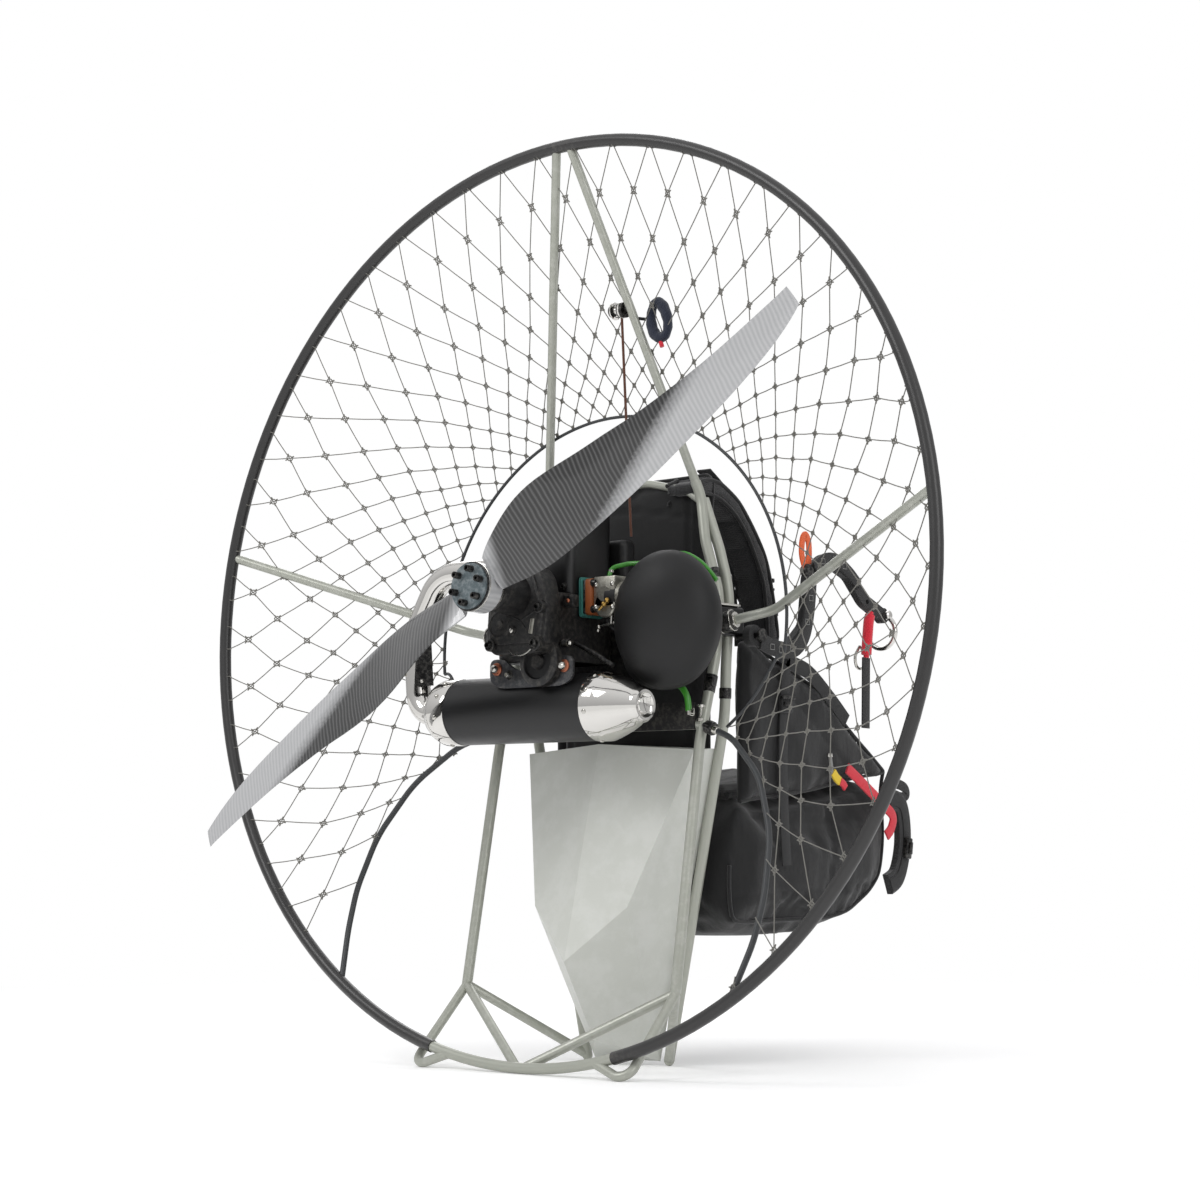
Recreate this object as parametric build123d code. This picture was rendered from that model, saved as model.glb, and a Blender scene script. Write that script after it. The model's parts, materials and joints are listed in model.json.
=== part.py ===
from build123d import *
import math
import os

# Paramotor: a caged, back-worn power unit with its harness.
# Frame of the model: +X to the pilot's right, +Y forwards to the pilot, +Z up.
# All lengths in millimetres. The parts are laid out about the hoop's centre
# line (y = 0 at the hoop's centre) and then moved so that the origin is the
# middle of the floor area under the whole machine.

os.makedirs("parts", exist_ok=True)

# ------------------------------------------------------------ driving sizes
HOOP_R = 690.5            # centre line radius of the protective hoop
HOOP_D = 19.0             # black hoop tube
BASE_D = 16.0             # plain metal tube closing the hoop at the bottom
HOOP_Z = 699.0            # height of the hoop's centre
HOOP_TILT = 3.84          # the hoop leans forward at the top, degrees
HOOP_END = 165.3          # black tube runs this far each side of the top
TOP_ARM_D = 13.5
SIDE_ARM_D = 14.5
UPRIGHT_D = 16.0
STRUT_D = 14.0
PROP_R = 652.0            # 1.30 m propeller
PROP_OFF = 140.0          # middle of the propeller hub behind the hoop plane
PROP_DROP = -8.0          # shaft a little below the hoop's centre
PROP_ANGLE = 56.4         # parked blade angle, clockwise from the top
HUB_R = 36.0
HUB_BOLT_PCD = 50.0
SHAFT_D = 25.0
SHAFT_FIT = 0.05          # radial running clearance of the shaft
PIVOT_D = 10.0
PIVOT_FIT = 0.05
BAR_X = 236.0             # swan-neck bars' distance from the middle plane
PIVOT_Y, PIVOT_Z = 204.0, 640.0
BAR_T, BAR_W = 12.0, 20.0   # swan-neck bars: flat section
HANG_Y, HANG_Z = 545.0, 692.0
SPARE_HOLES = ((471, 732.5), (498, 710.5))
SIL_R, SIL_Y, SIL_Z = 50.0, 20.0, 532.0
RING_R, RING_OFF, RING_H = 338.0, -153.0, -38.6

TILT = math.radians(HOOP_TILT)
HOOP = Plane(origin=(0, 0, HOOP_Z), x_dir=(1, 0, 0),
             z_dir=(0, -math.cos(TILT), math.sin(TILT)))

solids = {}


def on_hoop(x, h, n=0.0):
    """A point by its place across, up and behind the hoop's plane."""
    return HOOP.from_local_coords(Vector(x, h, n))


def around(theta, r=HOOP_R, n=0.0):
    """A point on a circle about the hoop's centre, clockwise from the top."""
    t = math.radians(theta)
    return on_hoop(r * math.sin(t), r * math.cos(t), n)


def rod(points, dia, radii=None):
    """Round bar along straight runs joined by tangent arcs."""
    pts = [Vector(*p) if not isinstance(p, Vector) else p for p in points]
    if len(pts) == 2:
        path = Line(pts[0], pts[1])
    else:
        path = FilletPolyline(*pts, radius=radii)
    profile = Plane(origin=path @ 0, z_dir=path % 0) * Circle(dia / 2)
    return sweep(profile, path=path)


def bead(p, dia):
    return Pos(*Vector(*p) if not isinstance(p, Vector) else p) * Sphere(dia / 2)


def mirrored(shape):
    return mirror(shape, about=Plane.YZ)


def pair(shape):
    return Compound([one(shape), one(mirrored(shape))])


def arc_rod(t0, t1, r, dia, n=0.0, h=0.0):
    """Round bar along a circle about the hoop's axis, t clockwise from top."""
    ring = Torus(r, dia / 2)
    if t1 - t0 >= 360:
        return HOOP * (Pos(0, h, n) * ring)
    path = CenterArc((0, 0, 0), r, 90 - t1, t1 - t0)
    path = HOOP * (Pos(0, h, n) * path)
    profile = Plane(origin=path @ 0, z_dir=path % 0) * Circle(dia / 2)
    return sweep(profile, path=path)


def axis_rod(p, direction, dia, length):
    return Plane(origin=p, z_dir=direction) * extrude(Circle(dia / 2), length)


def one(shape):
    """The single largest solid of a cut."""
    found = sorted(shape.solids(), key=lambda s: s.volume)
    return found[-1]


def block(x0, x1, y0, y1, z0, z1, r=0.0):
    b = Pos((x0 + x1) / 2, (y0 + y1) / 2, (z0 + z1) / 2) * Box(x1 - x0, y1 - y0, z1 - z0)
    if r:
        b = fillet(b.edges(), r)
    return b


def put(name, shape):
    found = list(shape.solids())
    solids[name] = found[0] if len(found) == 1 else Compound(found)


# ---------------------------------------------------------------- the hoop
hoop_left = arc_rod(-HOOP_END, 0, HOOP_R, HOOP_D)
hoop_right = arc_rod(0, HOOP_END, HOOP_R, HOOP_D)
hoop_base = arc_rod(HOOP_END, 360 - HOOP_END, HOOP_R, BASE_D)
put("hoop_left", hoop_left)
put("hoop_right", hoop_right)
put("hoop_base", hoop_base)
hoop_solid = HOOP * Torus(HOOP_R, HOOP_D / 2)
base_solid = HOOP * Torus(HOOP_R, BASE_D / 2)

# ------------------------------------------------------- chassis side tubes
NODE = Vector(203, 60.2, 119.3)            # where leg, foot loop and struts meet
KINK = Vector(151.8, 190.1, 853.5)         # top arm joins the chassis
TOP_AT_HOOP = Vector(14.5, 48.4, 1381.5)
arm_dir = (KINK - TOP_AT_HOOP).normalized()
JOINT = KINK - arm_dir * 24

upright = rod([JOINT, KINK, (166, 182, 785), (195, 179, 700), (198, 164, 610),
               (197.3, 127, 486), NODE], UPRIGHT_D, [70, 120, 160, 160, 300])
top_arm = rod([JOINT, TOP_AT_HOOP], TOP_ARM_D) - hoop_solid
top_arm = one(top_arm)
put("top_arms", pair(top_arm))
put("rear_uprights", pair(upright))

FRONT_FOOT = Vector(80, 200, 9.8)
front = rod([(152, 197, 850), (178, 200.5, 774), (197, 201, 705), (190, 200, 600), (187, 200, 520),
             (143, 200, 307), FRONT_FOOT], UPRIGHT_D, [120, 200, 400, 300, 500])
front = front + bead(FRONT_FOOT, UPRIGHT_D)
front = one(front - upright)
put("front_uprights", pair(front))

# ---------------------------------------------------------------- the feet
LOOP_ROOT = around(168.3)
LOOP_LOW = Vector(207, -57, 1.3)
loop = rod([NODE, LOOP_LOW, LOOP_ROOT], STRUT_D, [19])
loop = one(loop - upright - base_solid)
put("foot_loops", pair(loop))
strut_mid = one(rod([NODE, around(180) + Vector(6, 0, 0)], STRUT_D) - upright - loop - base_solid)
strut_mid = one(strut_mid & block(1.0, 400, -200, 400, 0, 400))
strut_front = one(rod([NODE, FRONT_FOOT + Vector(0, 0, 1)], STRUT_D) - upright - loop - strut_mid - front)
put("foot_struts", pair(strut_mid))
put("front_struts", pair(strut_front))

# ------------------------------------------------------------- cross tubes
bar_y, bar_z = 131.0, 507.0
lower_bar = one(rod([(-198, bar_y, bar_z), (198, bar_y, bar_z)], 14) - pair(upright))
put("lower_crossbar", lower_bar)
top_bar = rod([(-150, 194, 846), (-118, 200, 866), (-40, 205.8, 884), (40, 205.8, 884), (118, 200, 866), (150, 194, 846)],
              12, [40, 90, 90, 40])
top_bar = one(top_bar - pair(upright) - pair(front))
put("top_crossbar", top_bar)

# --------------------------------------------------------------- side arms
ARM_IN = Vector(245, 154, 660.5)
ARM_BEND = Vector(306, 166, 671.6)
ARM_OUT = around(81.3)
side_arm = rod([ARM_IN - (ARM_BEND - ARM_IN).normalized() * 20, ARM_BEND, ARM_OUT], SIDE_ARM_D, [60])
side_arm = one(side_arm - hoop_solid - HOOP * (Pos(0, RING_H, RING_OFF) * Torus(RING_R, 2.9)))
put("side_arms", pair(side_arm))
arm_dir2 = (ARM_BEND - ARM_IN).normalized()
socket_in = ARM_IN - arm_dir2 * 38
clamp = block(178, 212, 148, 218, 640, 684, 5)
socket = axis_rod(socket_in, arm_dir2, 30, 34)
pin = axis_rod((206, PIVOT_Y, PIVOT_Z), (1, 0, 0), PIVOT_D, 47)
pin_head = axis_rod((250, PIVOT_Y, PIVOT_Z), (1, 0, 0), 20, 6)
clamp_body = clamp + socket + pin + pin_head
clamp_body = one(clamp_body - upright - front - side_arm)
put("arm_clamps", pair(clamp_body))

# --------------------------------------------------------- lower net arcs
arc_pts = [(205, 128, 506), (269, 110, 485), (338, 82, 428), (383, 46, 345), (396, 14, 262), (393, -7, 200),
           around(147.1)]
net_arc = rod(arc_pts, 9, [110, 150, 170, 200, 240])
net_arc = one(net_arc - hoop_solid - upright)
put("net_arcs", pair(net_arc))

# ---------------------------------------------------------- net front ring
net_ring = arc_rod(-128, 128, RING_R, 5, n=RING_OFF, h=RING_H)
net_ring = one(net_ring)
put("net_ring", net_ring)

# ------------------------------------------------------------------ engine
shaft_h = PROP_DROP
SHAFT = on_hoop(0, shaft_h, 0)
shaft_dir = HOOP.z_dir


def behind(n, x=0.0, h=0.0):
    return on_hoop(x, shaft_h + h, n)


crank_z = 628.0
crankcase = block(-74, 40, -18, 118, 590, 700, 10)
put("crankcase", crankcase)
cyl = Pos(0, 62, 751) * Cylinder(42, 102)
for i in range(7):
    z = 712 + i * 14
    fin = Pos(0, 62, z) * Box(118, 112, 4)
    cyl = cyl + fin
cyl = one(cyl - crankcase)
put("cylinder", cyl)
head = Pos(0, 62, 818) * Cylinder(46, 32)
for i in range(9):
    head = head + Pos(-48 + i * 12, 62, 828) * Box(3.5, 104, 44)
head = one(head - cyl)
put("cylinder_head", head)
bore = Plane(origin=behind(40), z_dir=shaft_dir) * extrude(Circle(SHAFT_D / 2 + SHAFT_FIT), 80)
nose = Plane(origin=behind(20), z_dir=shaft_dir) * extrude(Circle(30), 92)
gear = Plane(origin=behind(22), x_dir=(1, 0, 0), z_dir=shaft_dir)
case = gear * extrude(SlotOverall(190, 128, rotation=90).moved(Location((0, -34, 0))), 58)
case = case + nose - bore
case = one(case - crankcase)
put("reduction_housing", case)
cowl = Plane(origin=(0, 118, crank_z + 12), x_dir=(1, 0, 0), z_dir=(0, 1, 0)) * extrude(Circle(98), 52, taper=8)
cowl = one(cowl - cyl - crankcase)
cowl = one(cowl - block(-200, 200, 100, 200, 700, 900) + block(-60, 60, 119, 150, 700, 790, 10))
put("starter_housing", cowl)

# engine mount: plate across the bottom of the case and the frame bearers
plate = block(-84, 84, -28, -18.5, 586, 616)
plate = one(plate - case)
put("mount_plate", plate)
bearer = block(-60, 36, 76, 124, 514, 590)
bearer = bearer + block(-190, 190, 122, 126, 500, 540)
bearer = one(bearer - crankcase - lower_bar - pair(upright) - cowl)
put("engine_bearer", bearer)

# --------------------------------------------------- intake and carburettor
intake = block(42, 52, 36, 84, 664, 728) + block(20, 42, 44, 76, 672, 724)
intake = one(intake - cyl - crankcase)
put("intake_block", intake)
carb = block(52, 88, 38, 82, 668, 724, 2)
carb = one(carb - cyl)
put("carburettor", carb)
AIR_C, AIR_A, AIR_B, AIR_H = (185, 67, 658), 90.0, 58.0, 102.0
egg = []
for f in (-0.985, -0.90, -0.70, -0.42, -0.10, 0.22, 0.52, 0.78, 0.94, 0.99):
    k = math.sqrt(1 - f * f)
    egg.append(Pos(AIR_C[0], AIR_C[1], AIR_C[2] + AIR_H * f) * Ellipse(AIR_A * k, AIR_B * k))
airbox = loft(egg)
airbox = airbox + axis_rod((88, 60, 696), (1, 0, 0), 44, 30)
airbox = one(airbox - carb)
put("airbox", airbox)

# ------------------------------------------------------ exhaust, silencer
header = rod([(-44, 34, 735), (-118, 26, 745), (-225, SIL_Y, 745), (-278, SIL_Y, 655), (-268, SIL_Y, SIL_Z),
              (-229, SIL_Y, SIL_Z)], 38, [120, 60, 80, 34])
header = one(header - cyl)
put("exhaust_header", header)
SILP = Plane(origin=(-204, SIL_Y, SIL_Z), z_dir=(1, 0, 0), x_dir=(0, 1, 0))
sil_body = SILP * extrude(Circle(SIL_R), 300)
put("silencer", sil_body)
left_cap = SILP * loft([Plane.XY * Circle(SIL_R), Pos(0, 0, -26) * Circle(24)])
left_cap = one(left_cap - header)
right_cap = SILP * loft([Pos(0, 0, 300) * Circle(SIL_R), Pos(0, 0, 330) * Circle(44), Pos(0, 0, 374) * Circle(20)])
right_cap = right_cap + SILP * (Pos(0, 0, 374) * extrude(Circle(12.5), 10))
right_cap = one(right_cap - SILP * (Pos(0, 0, 360) * extrude(Circle(6.5), 40)) - airbox)
put("silencer_ends", Compound([left_cap, right_cap]))
hanger = block(-160, -148, 56, 100, 560, 572) + block(40, 52, 56, 100, 560, 572)
for x0 in (-66, 50):
    pass
hang = block(-60, -40, 60, 72, 560, 578)
bracket = block(-58, -46, 40, 78, 545, 566) + block(34, 46, 40, 78, 545, 566)
brk = [one(block(x0, x0 + 14, 58, 90, 540, 566) - sil_body - crankcase - bearer) for x0 in (-72, 60)]
put("silencer_brackets", Compound(brk))

# -------------------------------------------------------------- fuel tank
V = {
    "tc": (0, 132, 483), "tr": (163, 158, 472), "fr": (172.5, 197, 474),
    "mr": (90.1, 88.6, 239.8), "ml": (0, 51, 159), "bc": (0, 119, 43), "br": (64, 199, 8),
}


def mx(name):
    x, y, z = V[name]
    return (-x, y, z)


def tri(a, b, c):
    return Face(Wire.make_polygon([Vector(*a), Vector(*b), Vector(*c)], close=True))


tank_faces = []
for s in (1, -1):
    g = (lambda n: V[n]) if s == 1 else mx
    tank_faces += [tri(V["tc"], g("tr"), g("mr")), tri(V["tc"], g("mr"), V["ml"]), tri(V["ml"], g("mr"), V["bc"]),
                   tri(g("mr"), g("br"), V["bc"]), tri(g("tr"), g("fr"), g("mr")), tri(g("fr"), g("br"), g("mr")),
                   tri(V["tc"], g("fr"), g("tr"))]
tank_faces += [tri(V["bc"], V["br"], mx("br")), tri(V["tc"], V["fr"], mx("fr")),
               tri(V["fr"], mx("br"), V["br"]), tri(V["fr"], mx("fr"), mx("br"))]
tank = Solid(Shell(tank_faces))
if tank.volume < 0:
    tank = Solid(tank.wrapped.Reversed())
tank = one(tank - pair(front) - pair(strut_front))
put("fuel_tank", tank)

# ------------------------------------------------------------ fuel hose
hose = rod([(70, 72, 724), (70, 76, 742), (92, 92, 748), (120, 100, 748)], 7, [12, 14])
hose = one(hose - airbox - carb)
put("fuel_hose", hose)

# --------------------------------------------------------- starter pull
PULLEY = Vector(62, 108, 1138)
arm_at = Vector(77.5, 114.3, 1138)
pulley = axis_rod(arm_at + Vector(-34, 0, 0), (1, 0, 0), 12, 34) + axis_rod(arm_at + Vector(-36, 0, 0), (1, 0, 0), 20, 8) \
    + axis_rod(arm_at + Vector(-20, 0, 0), (1, 0, 0), 24, 10)
pulley = pulley + rod([(81, 117, 1124), (92.5, 129, 1124)], 5)
pulley = one(pulley - top_arm - Plane(origin=(122, 130, 1120), x_dir=(1, 0, 0), z_dir=(0, 1, 0)) * Torus(26, 8))
put("starter_pulley", pulley)
rope = one(rod([(60, 114.3, 1127), (60, 136, 795)], 4) - pulley)
rope = one(rope - cowl)
put("starter_rope", rope)
grip = Plane(origin=(122, 130, 1120), x_dir=(1, 0, 0), z_dir=(0, 1, 0)) * Torus(26, 8)
put("starter_handle", grip)

# -------------------------------------------------------------- harness
back = block(-168, 168, 212, 238, 430, 900, 9)
back = one(back - pair(front) - top_bar)
put("back_pad", back)


def slab(profile, x0, x1):
    """Flat piece of a side outline (y, z) between two x places."""
    f = Face(Wire.make_polygon([Vector(x0, y, z) for y, z in profile], close=True))
    return extrude(f, amount=x1 - x0, dir=(1, 0, 0))


pad_out = [(238.2, 872), (290, 850), (327, 815), (358, 771), (376, 710), (386, 648), (352, 627), (330, 650), (318, 700), (296, 752),
           (268, 790), (238.2, 805)]
pads = slab(pad_out, 88, 150)
put("shoulder_pads", pair(pads))
seat = slab([(212, 194), (520, 190), (610, 226), (662, 262), (652, 280), (600, 252), (515, 216), (228, 220), (228, 430), (212, 430)], -182, 182)
put("seat_pan", seat)
side = slab([(228, 220), (515, 216), (600, 252), (652, 280), (560, 420), (450, 500), (350, 580), (300, 620), (238, 640), (238, 430), (228, 430)], 172, 182)
put("seat_sides", pair(side))

# ------------------------------------------------------------- propeller
PROP = Plane(origin=behind(PROP_OFF), x_dir=(1, 0, 0), z_dir=shaft_dir)
SPIN = Location((0, 0, 0), (0, 0, -PROP_ANGLE))
# station: radius, trailing edge (across, aft), leading edge (across, aft), thickness
STATIONS = [
    (34.5, -27, 8, 27, -7, 17),
    (60, -30, 18, 32, -12, 16),
    (100, -38, 32, 43, -15, 14.5),
    (140, -45, 35, 49, -15, 13),
    (180, -49, 30, 52, -14, 11.5),
    (270, -42, 13, 53, -14, 9.4),
    (340, -31, 9, 53, -13, 7.8),
    (400, -23, 7, 50.5, -12, 6.6),
    (470, -17, 5, 47, -10.5, 5.6),
    (530, -14, 4, 42, -9, 4.8),
    (600, -13.5, 3, 31, -7.5, 3.8),
    (652, -14.5, 2, 15, -5, 2.6),
]


def smooth(rows, r):
    """Shape-keeping cubic through the stations, so that the edges don't wave."""
    xs = [row[0] for row in rows]
    i = min(max(sum(1 for x in xs if x <= r) - 1, 0), len(xs) - 2)
    h = [xs[k + 1] - xs[k] for k in range(len(xs) - 1)]
    out = [r]
    for c in range(1, len(rows[0])):
        d = [(rows[k + 1][c] - rows[k][c]) / h[k] for k in range(len(h))]

        def slope(k):
            if k == 0:
                return d[0]
            if k == len(h):
                return d[-1]
            if d[k - 1] * d[k] <= 0:
                return 0.0
            return 2 * d[k - 1] * d[k] / (d[k - 1] + d[k])
        t = (r - xs[i]) / h[i]
        m0, m1 = slope(i) * h[i], slope(i + 1) * h[i]
        y0, y1 = rows[i][c], rows[i + 1][c]
        out.append(y0 * (1 + 2 * t) * (1 - t) ** 2 + m0 * t * (1 - t) ** 2 + y1 * t * t * (3 - 2 * t) + m1 * t * t * (t - 1))
    return out


def section(st):
    """Blade section: cambered top, flatter underside, blunt edges."""
    r, te_n, te_o, le_n, le_o, th = st
    dx, dz = le_n - te_n, le_o - te_o
    c = math.hypot(dx, dz)
    ux, uz = dx / c, dz / c
    nx, nz = uz, -ux

    def at(f, w):
        return Vector(te_n + ux * c * f + nx * w * th, r, te_o + uz * c * f + nz * w * th)

    top = [at(f, w) for f, w in ((0, 0.07), (0.2, 0.38), (0.45, 0.58), (0.7, 0.60), (0.9, 0.40), (1.0, 0.10))]
    low = [at(f, w) for f, w in ((1.0, -0.10), (0.9, -0.24), (0.7, -0.33), (0.45, -0.34), (0.2, -0.24), (0, -0.07))]
    return Wire([Spline(*top), Line(top[-1], low[0]), Spline(*low), Line(low[-1], top[0])])


def blade():
    r0, r1, n = STATIONS[0][0], STATIONS[-1][0], 12
    return Solid.make_loft([section(smooth(STATIONS, r0 + (r1 - r0) * k / n)) for k in range(n + 1)])


hub = extrude(Circle(HUB_R), 14, both=True)
b1 = blade()
prop = hub + b1 + b1.rotate(Axis.Z, 180)
prop = one(prop)
prop = PROP * (SPIN * prop)
put("propeller", prop)
hub_plate = PROP * (Pos(0, 0, 14) * extrude(Circle(33.8), 6))
bolts = []
for i in range(6):
    a = math.radians(60 * i + 20)
    bolts.append(PROP * (Pos(HUB_BOLT_PCD / 2 * math.cos(a), HUB_BOLT_PCD / 2 * math.sin(a), 20) * extrude(Circle(5), 11)))
put("hub_plate", hub_plate)
put("hub_bolts", Compound([one(b) for b in bolts]))
flange = PROP * (Pos(0, 0, -14) * extrude(Circle(33), -7)) + PROP * (Pos(0, 0, -21) * extrude(Circle(SHAFT_D / 2), -50))
put("shaft_flange", flange)

# -------------------------------------------------------- swan-neck bars
bar_pts = [(BAR_X, PIVOT_Y, PIVOT_Z), (BAR_X, 285, 618), (BAR_X, 335, 660), (BAR_X, 347, 742), (BAR_X, 392, 772),
           (BAR_X, 450, 752), (BAR_X, 492, 713), (BAR_X, 545, 692)]
bar_path = FilletPolyline(*[Vector(*p) for p in bar_pts], radius=[40, 32, 26, 40, 40, 40])
bar = sweep(Plane(origin=bar_path @ 0, x_dir=(1, 0, 0), z_dir=bar_path % 0) * Rectangle(BAR_T, BAR_W), path=bar_path)
eye = axis_rod((BAR_X - BAR_T / 2, PIVOT_Y, PIVOT_Z), (1, 0, 0), 32, BAR_T)
tip = axis_rod((BAR_X - BAR_T / 2, HANG_Y, HANG_Z), (1, 0, 0), 24, BAR_T)
bar = bar + eye + tip
bar = bar - axis_rod((BAR_X - 30, PIVOT_Y, PIVOT_Z), (1, 0, 0), PIVOT_D + 2 * PIVOT_FIT, 60)
bar = bar - axis_rod((BAR_X - 30, HANG_Y, HANG_Z), (1, 0, 0), 11, 60)
for y, z in SPARE_HOLES:
    bar = bar - axis_rod((BAR_X - 30, y, z), (1, 0, 0), 8.2, 60)
bar = one(bar)
put("swan_bar_right", bar)
put("swan_bar_left", mirrored(bar))
LINK_R = 26.0
link = Pos(BAR_X, HANG_Y, HANG_Z - LINK_R) * (Torus(LINK_R, 4).rotate(Axis.X, 90))
link = one(link - bar)
put("carabiner_right", link)
put("carabiner_left", mirrored(link))

# ----------------------------------------------------------------- export
bb = Compound([s for piece in solids.values() for s in piece.solids()]).bounding_box()
shift = Vector(-(bb.min.X + bb.max.X) / 2, -(bb.min.Y + bb.max.Y) / 2, -bb.min.Z)
print("bbox", bb.min, bb.max)
print("shift", shift)
vol = 0.0
mom = Vector(0, 0, 0)
for name, shape in solids.items():
    v = shape.volume
    vol += v
    mom += shape.center(CenterOf.MASS) * v
print("volume m3", vol * 1e-9, "centre of volume (layout)", mom * (1 / vol))
for name, shape in solids.items():
    moved = shape.moved(Location(shift))
    export_step(moved, f"parts/{name}.step")
print("SHIFT", tuple(shift))
print("SHAFT", tuple(behind(PROP_OFF) + shift), tuple(shaft_dir))
print("PIVOT", BAR_X, tuple(Vector(BAR_X, PIVOT_Y, PIVOT_Z) + shift))
print("HANG", tuple(Vector(BAR_X, HANG_Y, HANG_Z - LINK_R) + shift))
print("SPARE", [tuple(Vector(BAR_X, y, z) + shift) for y, z in SPARE_HOLES])
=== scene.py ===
import bpy
import bmesh
import json
from math import cos, exp, pi, radians, sin
import random
from mathutils import Vector, Matrix, noise
from mathutils.bvhtree import BVHTree


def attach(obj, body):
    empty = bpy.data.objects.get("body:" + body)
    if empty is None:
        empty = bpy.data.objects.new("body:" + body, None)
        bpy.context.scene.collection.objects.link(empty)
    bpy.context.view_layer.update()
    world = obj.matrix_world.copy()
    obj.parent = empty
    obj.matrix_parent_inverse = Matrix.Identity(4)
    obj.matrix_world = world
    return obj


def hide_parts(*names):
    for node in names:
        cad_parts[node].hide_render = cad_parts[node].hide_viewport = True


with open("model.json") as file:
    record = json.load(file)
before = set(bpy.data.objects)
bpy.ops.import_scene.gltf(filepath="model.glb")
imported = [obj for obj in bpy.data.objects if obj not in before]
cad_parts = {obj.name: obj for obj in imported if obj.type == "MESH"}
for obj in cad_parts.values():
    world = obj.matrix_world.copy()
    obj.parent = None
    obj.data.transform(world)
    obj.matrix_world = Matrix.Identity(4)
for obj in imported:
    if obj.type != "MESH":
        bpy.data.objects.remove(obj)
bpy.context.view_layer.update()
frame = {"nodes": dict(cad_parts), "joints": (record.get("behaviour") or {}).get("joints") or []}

# ------------------------------------------------------------------ places
# The machine is laid out in millimetres about the hoop's centre line; the
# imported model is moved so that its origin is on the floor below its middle.
JOINTS = {j["name"]: j for j in frame["joints"]}
SHIFT = Vector(JOINTS["bar_right_swing"]["pos_m"]) - Vector((0.236, 0.204, 0.640))
TILT = radians(3.84)
UP = Vector((0, sin(TILT), cos(TILT)))
AFT = Vector((0, -cos(TILT), sin(TILT)))
RIGHT = Vector((1, 0, 0))


def L(x, y, z):
    """A place of the layout, in millimetres, as a point of the scene."""
    return Vector((x, y, z)) * 0.001 + SHIFT


CENTRE = L(0, 0, 699)
HOOP_R, INNER_R, RING_R = 690.5, 681.5, 338     # hoop tube, its inner side, front ring


def hoop(x, h, n=0.0):
    """A point across, up and behind the hoop's plane, in millimetres."""
    return CENTRE + (RIGHT * x + UP * h + AFT * n) * 0.001


def round_hoop(theta, r=HOOP_R, n=0.0, h=0.0):
    """A point on a circle in the hoop's plane, theta degrees from the top."""
    t = radians(theta)
    return hoop(r * sin(t), r * cos(t) + h, n)


def place(name, data):
    """A new object in the scene."""
    o = bpy.data.objects.new(name, data)
    bpy.context.scene.collection.objects.link(o)
    return o


# ------------------------------------------------------------------ camera
LENS, SENSOR = 79.71, 36.0                     # millimetres
CAM_AT = Vector((2.58432, -2.95001, 0.33179))   # before the move to the floor's middle
CAM_AZ, CAM_EL = radians(39.9592), radians(-5.2585)
cam_data = bpy.data.cameras.new("camera")
cam_data.sensor_width = SENSOR
cam_data.lens = LENS
cam_data.clip_start = 0.05
cam_data.clip_end = 100
cam = place("camera", cam_data)
cam.location = CAM_AT + SHIFT
look = Vector((-sin(CAM_AZ) * cos(CAM_EL), cos(CAM_AZ) * cos(CAM_EL), -sin(CAM_EL)))
cam.rotation_euler = look.to_track_quat("-Z", "Y").to_euler()
bpy.context.scene.camera = cam
bpy.context.scene.view_settings.view_transform = "Standard"


# ---------------------------------------------------------------- materials
class Nodes:
    """Short way to write a node tree."""

    def __init__(self, name):
        self.m = bpy.data.materials.new(name)
        self.m.use_nodes = True
        self.t = self.m.node_tree
        self.p = self.t.nodes["Principled BSDF"]
        self.tc = self.t.nodes.new("ShaderNodeTexCoord")

    def new(self, kind, **kw):
        n = self.t.nodes.new(kind)
        for k, v in kw.items():
            setattr(n, k, v)
        return n

    def link(self, a, b):
        self.t.links.new(a, b)

    def fill(self, socket, v):
        """Give a socket a number, or link it."""
        if isinstance(v, (int, float)):
            socket.default_value = v
        else:
            self.link(v, socket)

    def put(self, **values):
        """Set the shader's own sockets; an underscore stands for a space."""
        for key, v in values.items():
            self.fill(self.p.inputs[key.replace("_", " ")], v)

    def math(self, op, *args):
        n = self.new("ShaderNodeMath", operation=op)
        for i, v in enumerate(args):
            self.fill(n.inputs[i], v)
        return n.outputs[0]

    def add(self, a, b):
        return self.math("ADD", a, b)

    def sub(self, a, b):
        return self.math("SUBTRACT", a, b)

    def mul(self, a, b):
        return self.math("MULTIPLY", a, b)

    def ramp(self, fac, stops):
        r = self.new("ShaderNodeValToRGB")
        e = r.color_ramp.elements
        while len(e) < len(stops):
            e.new(0.5)
        for i, (p, c) in enumerate(stops):
            e[i].position = p
            e[i].color = (c, c, c, 1) if isinstance(c, (int, float)) else (*c, 1)
        self.link(fac, r.inputs[0])
        return r.outputs[0]

    def mix(self, fac, a, b):
        n = self.new("ShaderNodeMix", data_type="RGBA")
        self.fill(n.inputs[0], fac)
        for i, v in ((6, a), (7, b)):
            if isinstance(v, tuple):
                n.inputs[i].default_value = (*v, 1)
            else:
                self.link(v, n.inputs[i])
        return n.outputs[2]

    def noise(self, scale, detail=3.0, rough=0.55, stretch=None):
        n = self.new("ShaderNodeTexNoise")
        n.inputs["Scale"].default_value = scale
        n.inputs["Detail"].default_value = detail
        n.inputs["Roughness"].default_value = rough
        src = self.tc.outputs["Object"]
        if stretch:
            mp = self.new("ShaderNodeMapping")
            mp.inputs["Scale"].default_value = stretch
            self.link(src, mp.inputs["Vector"])
            src = mp.outputs[0]
        self.link(src, n.inputs["Vector"])
        return n.outputs["Fac"]

    def bump(self, height, strength=0.3, dist=0.001, chain=None):
        b = self.new("ShaderNodeBump")
        b.inputs["Strength"].default_value = strength
        b.inputs["Distance"].default_value = dist
        self.link(height, b.inputs["Height"])
        if chain is not None:
            self.link(chain, b.inputs["Normal"])
        return b.outputs[0]


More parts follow.
